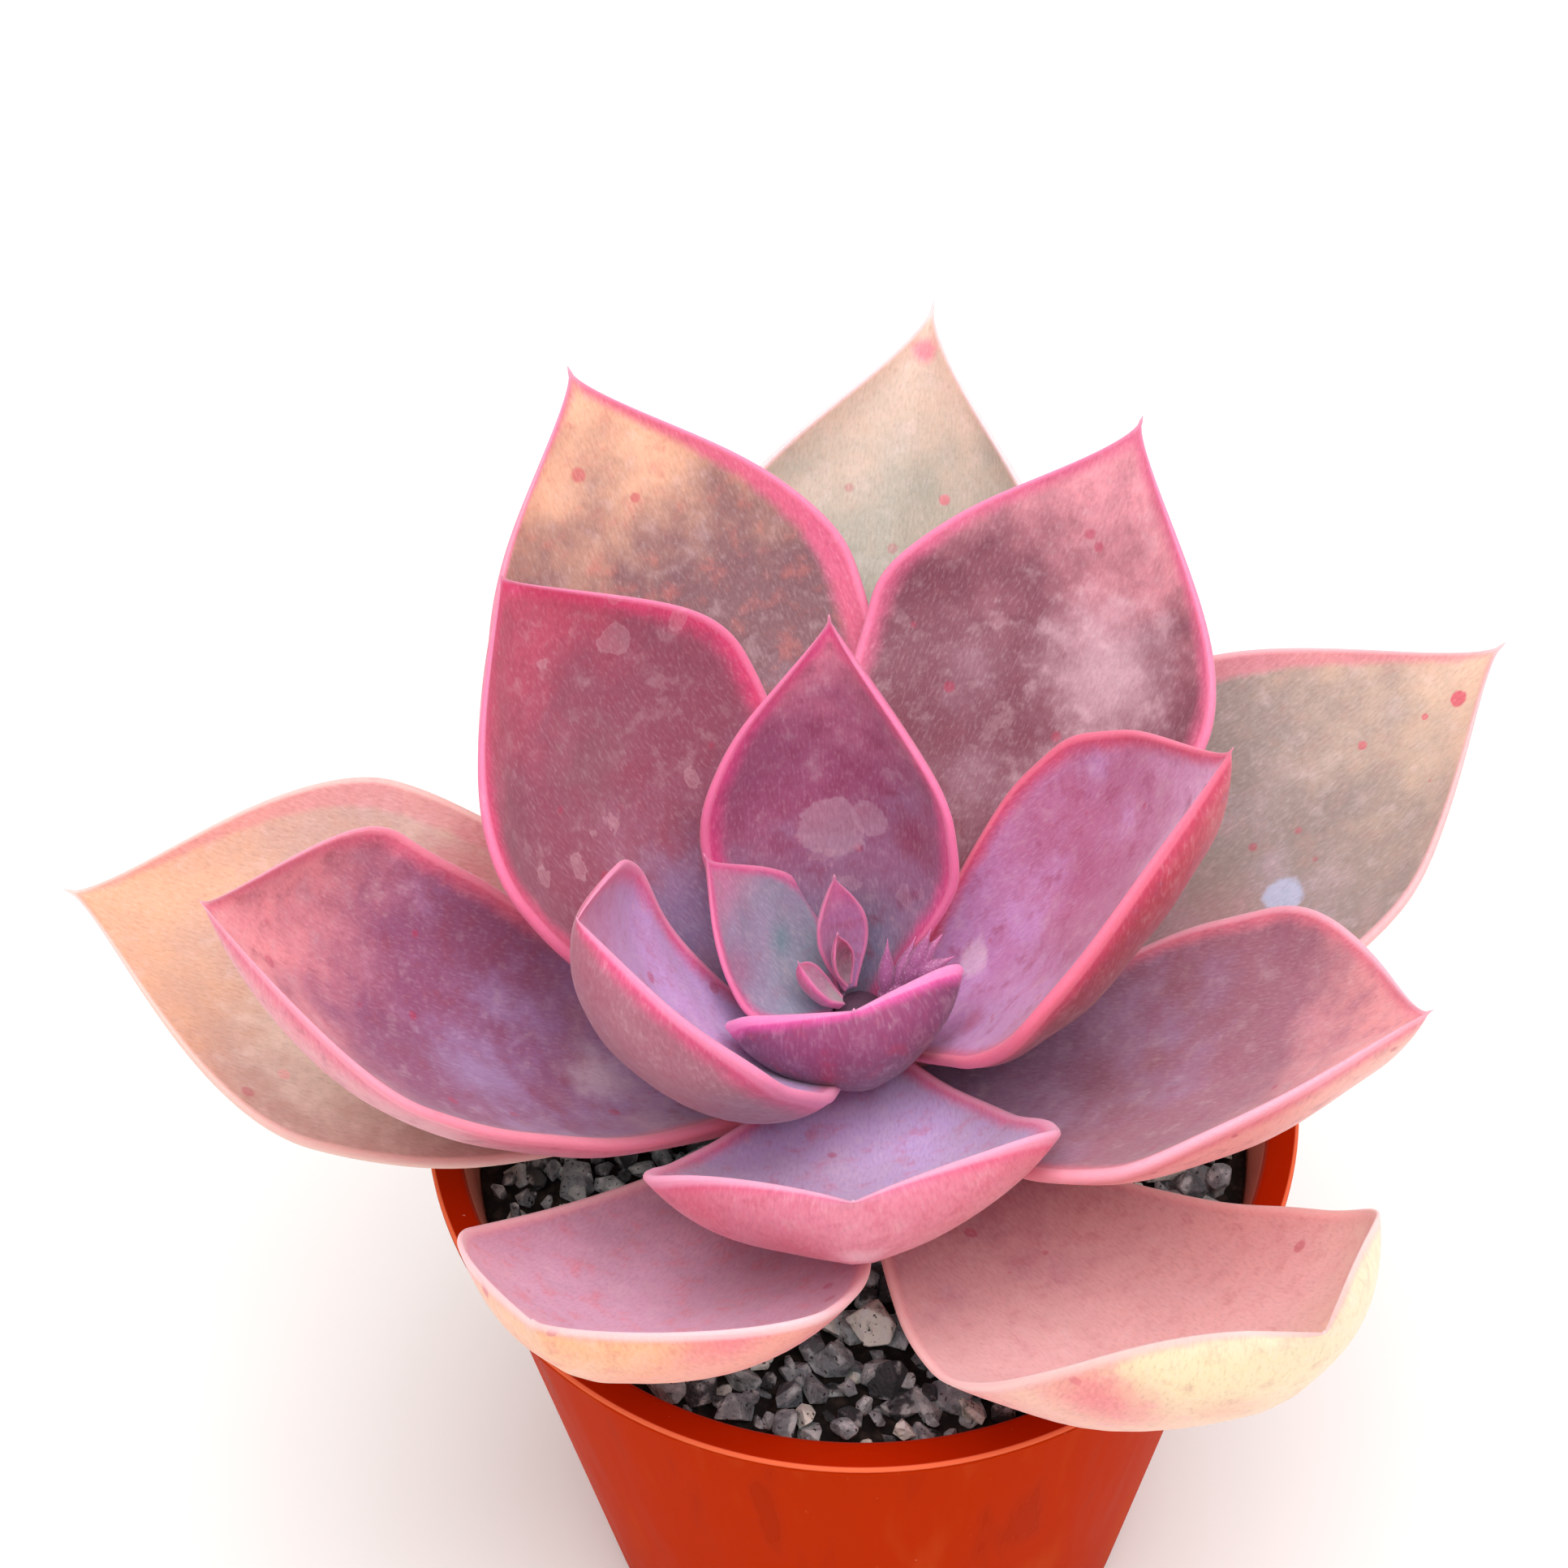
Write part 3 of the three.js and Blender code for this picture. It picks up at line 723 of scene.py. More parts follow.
# Each leaf's colours in a LeafSkin's order: base, middle, tip, flush, under, under_tip and bloom.
SKINS = {
    "back_leaf": LeafSkin(
        Slot.CREAM, "#c4ac9a", "#a6a294", "#dabcaa", "#f0b4a8", "#e0c4b0", "#f0d4bc", "#dcccc0",
        bloom_and_sheen_strength=0.5, band=0.8, flush_strength=0.35, edge="#f6d4dc", freckles=0.35, blotches=0.12,
        blotch="#c8a28c",
        spots=(
            Spot(0.94, 0, 2, "#ee708c", 0.7, 0.8), Spot(0.74, -5, 0.8, "#de6c80"),
        ),
    ),
    "front_right_leaf": LeafSkin(
        Slot.PEACH, "#b07c90", "#e0b0ae", "#f5dcc0", "#e8909a", "#f07c88", "#f8dcb2", "#c8929c",
        bloom_and_sheen_strength=0.3, band=1.3, flush_strength=0.6, edge="#fbccc8", edge_width=1.1, blotches=0.3,
        blotch="#b8646a",
        spots=(
            Spot(0.85, 6, 16, "#f8d0b0", 0.65, 0.95), Spot(0.8, -16, 9, "#ea5c74", 0.75, 0.95, 1),
            Spot(0.85, -6, 5, "#f4a088", 0.45, 0.95, 1),
        ),
    ),
    "left_leaf": LeafSkin(
        Slot.CREAM, "#c88c90", "#be988e", "#dcaa88", "#d87e88", "#d8b49c", "#e8c0a0", "#dcc4b4",
        bloom_and_sheen_strength=0.4, band=1.0, lean=1.2, flush_strength=0.5, edge="#f3c6c0", blotches=0.2,
        blotch="#d09a7c",
        spots=(
            Spot(0.68, 14, 0.8, "#e0607a"), Spot(0.5, -14, 9, "#c4686f", 0.75, 0.95),
            Spot(0.6, 10, 16, "#f0dcc8", 0.75, 0.95),
        ),
    ),
    "right_leaf": LeafSkin(
        Slot.CREAM, "#9c6080", "#968680", "#d8b8a0", "#e47c94", "#d8b0a0", "#ecc4ac", "#c0a8bc",
        bloom_and_sheen_strength=0.4, band=1.2, lean=-1.2, flush_strength=0.55, edge="#f0b4bc", blotches=0.2,
        blotch="#c89088",
        spots=(
            Spot(0.91, -1.5, 1.1, "#cf4a62", 0.85, 0.3), Spot(0.86, -0.5, 0.5, "#cf4a62"),
            Spot(0.77, 1.5, 0.6, "#c85060"), Spot(0.42, -8, 13, "#b87c84", 0.55, 0.95),
            # Painted highlight: the small bluish-white spot on the front side of the blade.
            Spot(0.56, -8, 2.6, "#b4bcd8", 0.75, 0.4),
        ),
    ),
    "front_left_leaf": LeafSkin(
        Slot.PEACH, "#d8a0b4", "#d4a2bc", "#ffc0cc", "#f08c98", "#ee7888", "#f8b688", "#b08ca0",
        bloom_and_sheen_strength=0.4, band=1.3, flush_strength=0.6, edge="#ffd2d6", edge_width=1.1, blotches=0.4,
        blotch="#e06a70",
        spots=(
            Spot(0.8, 14, 8, "#ec6c80", 0.75, 0.95, 1), Spot(0.78, 5, 5, "#f28668", 0.5, 0.95, 1),
            Spot(0.8, -15, 5, "#f09aa4", 0.6, 0.95, 1), Spot(0.85, -10, 1.1, "#d8485c", 0.85, 0.5, 1),
        ),
    ),
    "back_left_leaf": LeafSkin(
        Slot.PEACH, "#74586e", "#80565c", "#f4be9c", "#df6088", "#c8848a", "#e0a090", "#ae8ea0",
        bloom_and_sheen_strength=0.45, band=1.6, lean=1.0, flush_strength=0.85, freckles=0.7, blotches=0.4,
        blotch="#d0746c",
        spots=(
            Spot(0.55, 6, 10, "#765a6c", 0.85, 0.95), Spot(0.86, 3, 1, "#c84a5a", 0.6),
            Spot(0.8, -2, 0.7, "#c84a5a", 0.6),
        ),
    ),
    "right_lower_leaf": LeafSkin(
        # Its near-white underside colours are lightened to lift the shade beneath the leaf: partly painted
        # light.
        Slot.DUSKY, "#764264", "#a86e80", "#fca6a6", "#e8788e", "#ffb0bc", "#ffbcae", "#b494c0",
        bloom_and_sheen_strength=0.45, band=1.8, edge="#ffb4c6", blotches=0.35, blotch="#a05070",
    ),
    "left_middle_leaf": LeafSkin(
        # Its pale base colour is lightened to lift the shade near the stem: painted light.
        Slot.DUSKY, "#dcbcd4", "#945678", "#f0969c", "#e06c88", "#d08090", "#e88a98", "#b396c8",
        bloom_and_sheen_strength=0.6, band=2.0, edge="#fb9cb0", blotches=0.45, blotch="#9a4458",
        spots=(
            # Painted light: a lavender sheen across the middle of the blade, and a pale patch that lifts
            # the shade near the stem.
            Spot(0.52, 2, 8, "#ae98c6", 0.5, 0.95), Spot(0.33, 0, 5, "#e0c8d4", 0.6, 0.9),
        ),
    ),
    "back_right_leaf": LeafSkin(
        Slot.DUSKY, "#843440", "#804656", "#f8a6b2", "#de6890", "#b87484", "#d898a0", "#b08a9a",
        bloom_and_sheen_strength=0.4, band=2.0, blotches=0.35, blotch="#90505e",
        spots=(
            # Painted sheen: both pale patches are reflections of the light on the right side of the blade.
            Spot(0.62, -6, 11, "#e6bcc8", 0.6, 0.95), Spot(0.42, -8, 9, "#e0bcc8", 0.45, 0.95),
        ),
    ),
    "front_leaf": LeafSkin(
        Slot.DUSKY, "#c0a4c4", "#bca0c4", "#d8b0d0", "#ea5c88", "#da728a", "#e4849c", "#c4a4dc",
        bloom_and_sheen_strength=0.6, band=2.0, edge="#ffb8d4", edge_width=1.0, blotches=0.4, blotch="#c84a68",
        spots=(
            Spot(0.8, -5, 5, "#d4506a", 0.6, 0.95, 1), Spot(0.78, -14, 4, "#e0506c", 0.5, 0.95, 1),
            # Painted highlight: the pale spot underneath, on the midrib, is the light along the keel.
            Spot(0.74, 12, 5, "#e89cb0", 0.5, 0.95, 1), Spot(0.8, 0, 3, "#fcc8d8", 0.6, 0.95, 1),
        ),
    ),
    "left_back_leaf": LeafSkin(
        Slot.ROSE, "#6e6c92", "#945064", "#cc5670", "#e4487c", "#b05070", "#c86080", "#b07c98",
        bloom_and_sheen_strength=0.4, band=2.6, water_marks=0.8, blotches=0.3, blotch="#962f4c",
        spots=(
            Spot(0.3, 2, 10, "#8a78a2", 0.65, 0.95), Spot(0.62, 0, 9, "#8c6068", 0.4, 0.95),
        ),
    ),
    "right_middle_leaf": LeafSkin(
        Slot.ROSE, "#c080b6", "#b86a90", "#e0a6cc", "#d03e66", "#8c2038", "#c83c54", "#cc9cd4",
        bloom_and_sheen_strength=0.6, band=2.0, edge="#f8809c", blotches=0.55, blotch="#a03a64",
        spots=(
            Spot(0.2, 3, 2.6, "#ecd2e0", 0.45, 0.5), Spot(0.22, -6, 2.4, "#b83a66", 0.5, 0.8),
            Spot(0.5, 4, 5, "#a84a74", 0.45, 0.9),
        ),
    ),
    "left_inner_leaf": LeafSkin(
        Slot.DUSKY, "#b89ed0", "#c498ca", "#c87aa0", "#e04880", "#a87c88", "#b46c80", "#d0a8e0",
        bloom_and_sheen_strength=0.6, band=2.4, edge="#fb9cc0", edge_width=0.8, blotches=0.3,
    ),
    "centre_back_leaf": LeafSkin(
        Slot.ROSE, "#767a90", "#9c5072", "#ea8ca4", "#e2448a", "#a85078", "#c06088", "#9c86a4",
        bloom_and_sheen_strength=0.45, band=2.2, water_marks=0.5, blotches=0.5, blotch="#8a2c50",
        spots=(
            Spot(0.45, -8, 4.5, "#8a3050", 0.75, 0.95), Spot(0.44, 1, 3.6, "#c9a6b2", 0.4, 0.12),
            Spot(0.47, -3, 2.2, "#c9a6b2", 0.35, 0.15),
        ),
    ),
    "front_inner_leaf": LeafSkin(
        Slot.ROSE, "#c4a4dc", "#ccaae4", "#c07cac", "#e85ca8", "#643454", "#9a4e78", "#c8a0d4",
        bloom_and_sheen_strength=0.5, band=1.3, edge="#ffa0cc", edge_width=0.45, blotches=0.45, blotch="#b83c60",
    ),
    "back_inner_leaf": LeafSkin(
        Slot.SAGE, "#8e94a6", "#94869e", "#cc789a", "#d84e8c", "#8a7c88", "#b07890", "#8ea4ac",
        bloom_and_sheen_strength=0.4, band=1.2, blotches=0.15,
        spots=(
            Spot(0.4, -1.5, 2.6, "#6c8c94", 0.75, 0.95), Spot(0.55, 5, 3.6, "#a06484", 0.65, 0.95),
        ),
    ),
    "heart_leaf_tall": LeafSkin(
        Slot.DUSKY, "#c094c4", "#b87aa4", "#d87aa4", "#d8609a", "#a87490", "#c06890", "#b898b8",
        band=0.5, flush_strength=0.3, edge_width=0.2,
    ),
    "heart_leaf_left": LeafSkin(
        Slot.SAGE, "#a89c9c", "#b87c98", "#d86c94", "#e0609a", "#a87c88", "#c86c90", "#a8a4a0",
        band=0.4, flush_strength=0.6, edge_width=0.15,
    ),
    "heart_leaf_back": LeafSkin(
        Slot.SAGE, "#7a4c5c", "#7a3c50", "#a04868", "#d8508c", "#a87490", "#c06890", "#a8a4a0",
        band=0.3, flush_strength=0.5, edge_width=0.1,
    ),
}

# The leaves from the oldest, lowest one to the youngest, each about 137.5 degrees on from the last. The
# numbers are a Leaf's fields in order, from its heading to its taper.
LEAF_SIZES = {
    "back_leaf": (83, -16, 79, 22, 22, 1.3, 81, 44, 5, 36, 6, -6, 0.56, 1.55),
    "front_right_leaf": (303, 8, 78.5, -5, 88, 1.4, 80, 45, 2.8, 6, 62, -9, 0.64, 0.4),
    "left_leaf": (174, -1, 80, 10, 18, 1.3, 78, 45, 4.6, 21, 1, -3, 0.63, 1.4),
    "right_leaf": (23, 1, 79.5, 15, 21, 1.3, 75, 42, 4.6, 28, 0, 0, 0.58, 1.4),
    "front_left_leaf": (239, -13, 80, -3, 77, 1.25, 66, 40, 3.8, 29, 15, 15, 0.64, 1.45),
    "back_left_leaf": (117, 2, 83, 31, 23, 1.3, 73, 41, 5, 24, 0, 0, 0.61, 1.4),
    "right_lower_leaf": (334, -6, 82.5, 18, 37, 1.05, 64, 38, 6, 25, 6, -5, 0.57, 1.45),
    "left_middle_leaf": (192, -14, 82.5, 10, 54, 1, 73, 37, 5, 47, 5, 0, 0.7, 1.2),
    "back_right_leaf": (54, 1, 85.5, 32, 27, 1.3, 66, 39, 5, 25, 0, 0, 0.59, 1.5),
    "front_leaf": (267, -5, 87.5, 4, 73, 1.35, 43, 40, 4.8, 18, 27, 8, 0.65, 0.6),
    "left_back_leaf": (149, -8, 86.5, 34, 46, 1.3, 60, 40, 5, 33, 0, -2, 0.58, 1.25),
    "right_middle_leaf": (354, -9, 87.5, 45, 24, 1.2, 54, 36, 6, 29, 7, -2, 0.48, 1.4),
    "left_inner_leaf": (213, -34, 87, 32, 46, 0.95, 48, 31, 5.5, 32, 26, 2, 0.62, 0.8),
    "centre_back_leaf": (96, -2, 88, 61, 20, 1.25, 43, 28, 4.2, 46, 7, -20, 0.46, 1.4),
    "front_inner_leaf": (265, 8, 91, 38, 44, 1.3, 19.5, 24, 5, 35, 13, 14, 0.59, 1),
    "back_inner_leaf": (162, -7, 90.5, 46, 24, 1.45, 23, 16, 2.4, 8, 0, -4, 0.4, 1.5),
    "heart_leaf_tall": (115, 0, 91.5, 70, 18, 1.3, 14.5, 5.4, 1.7, 36, 0, 0, 0.52, 1.3),
    "heart_leaf_left": (190, 0, 92.5, 48, 25, 1.3, 8.5, 4, 1.5, 34, 0, 0, 0.5, 1.2),
    "heart_leaf_back": (140, 0, 93.5, 72, 15, 1.3, 7, 2.8, 1, 34, 0, 0, 0.5, 1.2),
}


@dataclass
class Rosette:
    """All the leaves, set round the stem."""

    leaves: list[Leaf] = field(
        default_factory=lambda: [Leaf(name, SKINS[name], *sizes) for name, sizes in LEAF_SIZES.items()]
    )

    def build(self, stem: "Stem") -> list[Object]:
        """Builds and dresses every leaf.

        Args:
            stem: The stem that carries the leaves.

        Returns:
            The leaves, oldest first.
        """
        pieces = []
        for leaf in self.leaves:
            mesh = leaf.build(stem.radius(leaf.height))
            mesh.name = f"{leaf.name}_grown"
            piece = place_piece(mesh, (leaf.name,))
            piece.data.materials.append(leaf.skin.material(leaf.name, leaf.length))
            pieces.append(piece)
        return pieces


# ---- pot ----


@dataclass(frozen=True)
class MouldedPlastic:
    """Injection-moulded polypropylene, pigmented orange: smooth and softly glossy, with faint flow streaks
    down the wall that also carry its sheen as painted reflections, painted shade on the lip's top and a
    painted highlight along its outer edge, fine handling scratches and a little dust."""

    colour: str = "#b82c00"
    # The streaks' darker and paler colours: flow lines, and painted reflections of the room's dark and
    # bright parts.
    shade: str = "#a22502"
    light: str = "#c2461c"

    def material(self) -> Material:
        """Makes the pot's material."""
        material, tree, place = new_material("moulded_polypropylene")
        # Flow streaks 5 mm apart and twenty times as long, which also carry painted reflections of the
        # room, slanting scratches of 0.5 mm, dust of 0.7 mm.
        upright = {"Vector": place, "Scale": (1.0, 1.0, 0.05)}
        slanted = {"Vector": place, "Rotation": (0.6, 0.3, 0.2), "Scale": (1.0, 1.0, 0.03)}
        stretch, slant = (add_node(tree, "ShaderNodeMapping", way).outputs[0] for way in (upright, slanted))
        streak = noise(tree, stretch, 5.0, 3.0)
        scratch = noise(tree, slant, 0.5, 3.0)
        dust = noise(tree, place, 0.7, 3.0)
        height = add_node(tree, "ShaderNodeSeparateXYZ", {0: place}).outputs["Z"]
        level = vector_sums(tree, "MULTIPLY", place, (1, 1, 0))
        corner = sums(tree, "ADD", vector_sums(tree, "LENGTH", level), height)
        # Light comes through the thin wall, so its inner side, which faces the axis, looks paler.
        facing = add_node(tree, "ShaderNodeTexCoord").outputs["Normal"]
        inner = vector_sums(tree, "DOT_PRODUCT", facing, level)
        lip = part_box("pot")[1]
        rim = lip.x + lip.z  # radius plus height, greatest at the lip's outer edge
        coats = [
            # Painted reflections: the flow streaks carry the wall's sheen as darker and paler bands.
            Layer(streak, 0.42, 0.3, 0.5, self.shade),
            Layer(streak, 0.52, 0.72, 0.55, self.light),
            Layer(scratch, 0.72, 0.80, 0.25, "#dc6a40"),
            Layer(inner, -0.01, -0.03, 0.8, "#e89a86"),
            # Painted shade: the lip's flat top, which faces the light, is painted darker.
            Layer(height, lip.z - 0.0008, lip.z - 0.0002, 0.9, "#981c02"),
            # Painted highlight: a thin pale line along the lip's outer edge.
            Layer(corner, rim - 0.00045, rim - 0.0003, 0.8, "#f5754e"),
            Layer(dust, 0.74, 0.80, 0.35, "#e8b8a0"),
        ]
        colour = paint(tree, self.colour, coats)
        gloss = add_node(tree, "ShaderNodeMapRange", {0: streak, 1: 0.3, 2: 0.7, 3: 0.26, 4: 0.4})
        # A white room's mirror image would wash the orange out, so the specular level is close to nothing.
        constants = {"IOR": 1.49, "Specular IOR Level": 0.001}
        finish_surface(tree, colour, gloss.outputs[0], streak, 0.05, constants)
        return material


@dataclass
class Pot:
    """The round nursery pot: a tapered wall with a flat rolled lip and a foot with six drain holes."""

    lip_thickness: float = 1.2
    wall_radius: float = 42.5  # outside, just under the lip
    wall: float = 1.0
    floor: float = 1.6
    taper: float = 8.0  # degrees off the vertical
    soft: float = 0.45  # rounding of its corners
    segments: int = 192
    drain_count: int = 6
    drain_radius: float = 3.5
    drain_ring: float = 21.0
    lip_fall: float = 0.3  # the lip's underside slopes down to the wall by this
    lip_turn: float = 0.4  # the mouth is this much wider at the very top
    finish: MouldedPlastic = MouldedPlastic()

    def profile(self) -> Outline:
        """Gives the wall's outline from the CAD pot's own height and lip."""
        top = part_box("pot")[1]
        height, lip = top.z / MM, top.x / MM
        slope = math.tan(math.radians(self.taper))
        inside = self.wall_radius - self.wall
        outline = [
            (0, 0),
            (self.wall_radius - height * slope, 0),
            (self.wall_radius, height - self.lip_thickness - self.lip_fall),
            (lip, height - self.lip_thickness),
            (lip, height),
            (inside + self.lip_turn, height),
            (inside, height - self.lip_thickness),
            (inside - (height - self.floor) * slope, self.floor),
            (0, self.floor),
        ]
        return rounded(outline, self.soft)

    def build(self) -> Object:
        """Builds and dresses the pot."""
        pot = place_piece(lathe("nursery_pot", self.profile(), self.segments), ("pot",))
        pot.data.materials.append(self.finish.material())
        self.drill(pot)
        return pot

    def drill(self, pot: Object) -> None:
        """Cuts the drain holes through the foot.

        Args:
            pot: The pot to cut.
        """
        depth = [(0, -5), (self.drain_radius, -5), (self.drain_radius, 5), (0, 5)]
        drills = []
        for i in range(self.drain_count):
            drill = lathe("drill", depth, 32)
            turn = 2 * math.pi * i / self.drain_count
            middle = Vector((math.cos(turn), math.sin(turn), 0)) * self.drain_ring * MM
            drill.transform(Matrix.Translation(middle))
            drills.append(drill)
        cutter = add_object("drills", join("drills", drills))
        cut = pot.modifiers.new("drain_holes", "BOOLEAN")
        cut.operation, cut.solver, cut.object = "DIFFERENCE", "EXACT", cutter
        drilled = pot.evaluated_get(bpy.context.evaluated_depsgraph_get())
        shaped = bpy.data.meshes.new_from_object(drilled)
        pot.modifiers.clear()
        pot.data = shaped
        shaped.name = "nursery_pot"
        bpy.data.objects.remove(cutter)


# ---- grit ----


@dataclass(frozen=True)
class CrushedStone:
    """Crushed pumice and quartz, broken and rinsed: grey, cream and near-black grains with pale faces,
    peppered with black mineral specks, dull with a slight damp shine."""

    name: str

    def material(self) -> Material:
        """Makes the stones' material."""
        material, tree, place = new_material(self.name)
        tone = add_node(tree, "ShaderNodeAttribute", attribute_name="tone").outputs["Fac"]
        # Cloudy veins 1.5 mm across, pores of 0.4 mm and mineral specks of 0.5 mm.
        vein, pore, speck = (noise(tree, place, size, 4.0) for size in (1.5, 0.4, 0.5))
        coats = [
            Layer(tone, 0.10, 0.16, 1.0, "#5d6165"),
            Layer(tone, 0.30, 0.38, 1.0, "#868c90"),
            Layer(tone, 0.58, 0.66, 1.0, "#aab0b1"),
            Layer(tone, 0.86, 0.88, 1.0, "#e4e4da"),
            Layer(tone, 0.96, 0.97, 1.0, "#b8a684"),
            Layer(vein, 0.48, 0.70, 0.6, "#dfe3e4"),
            Layer(vein, 0.46, 0.3, 0.6, "#3c3f41"),
            Layer(speck, 0.62, 0.66, 0.9, "#141516"),
        ]
        colour = paint(tree, "#33373a", coats)
        constants = {"IOR": 1.5, "Subsurface Weight": 0.1, "Subsurface Scale": 0.0012}
        finish_surface(tree, colour, 0.55, pore, 0.25, constants)
        return material


@dataclass(frozen=True)
class DampSoil:
    """Peaty mix under the grit, damp: nearly black, crumbly and without shine."""

    def material(self) -> Material:
        """Makes the soil's material."""
        material, tree, place = new_material("damp_soil")
        crumb = noise(tree, place, 1.2, 5.0)  # crumbs 1.2 mm across
        colour = paint(tree, "#1b1715", [Layer(crumb, 0.45, 0.7, 0.8, "#3c332d")])
        finish_surface(tree, colour, 0.9, crumb, 0.6, {"IOR": 1.35})
        return material


@dataclass
class GritBed:
    """The soil that fills the pot, and the loose grit over it."""

    edge: float = field(default_factory=lambda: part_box("potting_mix")[1].x / MM)
    lip: float = field(default_factory=lambda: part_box("pot")[1].z / MM)
    seed: int = 11
    headspace: float = 7.0  # from the lip down to the grit at the wall
    mound: float = 1.5
    top_stones: int = 760
    lower_stones: int = 350
    shapes: int = 14
    corners: int = 15
    smallest: float = 0.9  # radius
    largest: float = 2.9
    bias: float = 2.2  # how much more often small stones come than large ones
    sides: tuple[float, float, float] = (1.0, 0.82, 0.66)  # a stone's proportions
    bevel: float = 0.09  # worn edges, as a share of the radius
    jitter: float = 0.5  # up or down from the layer
    cover: float = 1.4  # from the bed's top down to the soil
    wall_gap: float = 0.4
    pale_stone: tuple[float, float] = (-0.3, -26.0)  # where one larger, paler stone lies at the front
    pale_lift: float = 1.6
    pale_radius: float = 3.1
    pale_tone: float = 0.9
    stone: CrushedStone = CrushedStone("crushed_pumice")
    soil: DampSoil = DampSoil()

    def top(self, radius: float) -> float:
        """Gives the bed's height at a radius, in millimetres."""
        return self.lip - self.headspace + self.mound * (1 - (radius / self.edge) ** 2)

    def hull(self, draw: np.random.Generator) -> tuple[np.ndarray, np.ndarray]:
        """Makes one broken stone about a millimetre in radius.

        Args:
            draw: The stream of random numbers.

        Returns:
            Its points and its triangles.
        """
        thrown = draw.normal(size=(self.corners, 3))
        thrown *= np.array(self.sides) / np.linalg.norm(thrown, axis=1)[:, None]
        shape = bmesh.new()
        for corner in thrown:
            shape.verts.new(corner)
        found = bmesh.ops.convex_hull(shape, input=shape.verts)
        inside = found["geom_interior"] + found["geom_unused"]
        loose = [item for item in inside if isinstance(item, bmesh.types.BMVert)]
        bmesh.ops.delete(shape, geom=loose, context="VERTS")
        worn = {"offset": self.bevel, "segments": 1, "profile": 0.6, "clamp_overlap": True}
        bmesh.ops.bevel(shape, geom=shape.edges[:], affect="EDGES", **worn)
        bmesh.ops.triangulate(shape, faces=shape.faces[:])
        shape.verts.index_update()
        points = np.array([v.co for v in shape.verts])
        faces = np.array([[v.index for v in f.verts] for f in shape.faces])
        shape.free()
        return points, faces

    def scatter(self, name: str, stones: list[tuple[Vector, float, float]], seed: int) -> Mesh:
        """Makes one mesh of many stones.

        Args:
            name: The mesh's name.
            stones: Each stone's middle in millimetres, its radius and its tone.
            seed: Where the stream of random numbers starts.

        Returns:
            The mesh, with each stone's tone stored in it.
        """
        draw = np.random.default_rng(seed)
        shapes = [self.hull(draw) for _ in range(self.shapes)]
        points, faces, tones, count = [], [], [], 0
        for i, (middle, radius, tone) in enumerate(stones):
            shape, triangles = shapes[i % self.shapes]
            spin = np.array(Matrix.Rotation(draw.uniform(0, 6.3), 3, Vector(draw.normal(size=3))))
            points.append((shape @ spin.T * radius + np.array(middle)) * MM)
            faces.append(triangles + count)
            tones.append(np.full(len(shape), tone))
            count += len(shape)
        mesh = bpy.data.meshes.new(name)
        mesh.from_pydata(np.vstack(points).tolist(), [], np.vstack(faces).tolist())
        mesh.update()
        store(mesh, "tone", np.concatenate(tones))
        return mesh

    def layer(
        self, draw: np.random.Generator, count: int, sink: float
    ) -> list[tuple[Vector, float, float]]:
        """Lays one layer of stones evenly over the bed.

        Args:
            draw: The stream of random numbers.
            count: How many stones.
            sink: How far below the bed's top their middles lie, in millimetres.

        Returns:
            Each stone's middle, radius and tone.
        """
        stones = []
        for i in range(count):
            size = self.smallest + (self.largest - self.smallest) * draw.uniform() ** self.bias
            radius = (self.edge - size - self.wall_gap) * math.sqrt((i + 0.5) / count)
            turn = i * GOLDEN_TURN + draw.uniform(-0.02, 0.02)
            height = self.top(radius) - sink + draw.uniform(-self.jitter, self.jitter)
            middle = Vector((radius * math.cos(turn), radius * math.sin(turn), height))
            stones.append((middle, size, draw.uniform()))
        return stones

    def build_soil(self) -> Object:
        """Builds and dresses the soil, which fills the pot just inside its wall."""
        lowest, highest = (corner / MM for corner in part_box("potting_mix"))
        slope = math.tan(math.radians(Pot.taper))
        foot = highest.x - (highest.z - lowest.z) * slope
        profile = [(0, lowest.z), (foot - self.wall_gap, lowest.z)]
        for radius in (highest.x, *np.linspace(highest.x - 1, 1, 24), 0):
            profile.append((radius, self.top(radius) - self.cover))
        mesh = lathe("soil_bed", profile, 96)
        soil = place_piece(mesh, ("potting_mix",))
        soil.data.materials.append(self.soil.material())
        return soil

    def build_grit(self) -> Object:
        """Builds and dresses the loose grit."""
        draw = np.random.default_rng(self.seed)
        stones = self.layer(draw, self.lower_stones, 1.3) + self.layer(draw, self.top_stones, 0.1)
        height = self.top(math.hypot(0, self.pale_stone[1])) + self.pale_lift
        stones.append((Vector((*self.pale_stone, height)), self.pale_radius, self.pale_tone))
        grit = place_piece(self.scatter("pumice_grit", stones, self.seed + 1))
        grit.data.shade_flat()
        grit.data.materials.append(self.stone.material())
        return grit

    def build_large_stones(self, names: list[str]) -> list[Object]:
        """Builds the larger stones that lie on the bed, each where its CAD node is.

        Args:
            names: The CAD nodes of the stones.

        Returns:
            The stones.
        """
        material = CrushedStone("broken_quartz").material()
        pieces = []
        for i, name in enumerate(names):
            lowest, highest = (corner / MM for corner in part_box(name))
            size = (highest - lowest) / 2
            tone = 0.5 + 0.34 * math.sin(2.4 * i)  # grey to pale, one after another
            stone = self.scatter(f"{name}_broken", [(Vector(), 1.0, tone)], 40 + i)
            points = np.array([v.co for v in stone.vertices]) / MM
            points *= np.array(size) / np.abs(points).max(axis=0)
            points += np.array((lowest + highest) / 2)
            stone.vertices.foreach_set("co", (points * MM).ravel())
            piece = place_piece(stone, (name,))
            piece.data.shade_flat()
            piece.data.materials.append(material)
            pieces.append(piece)
        return pieces


# ---- stem and flower stalk ----


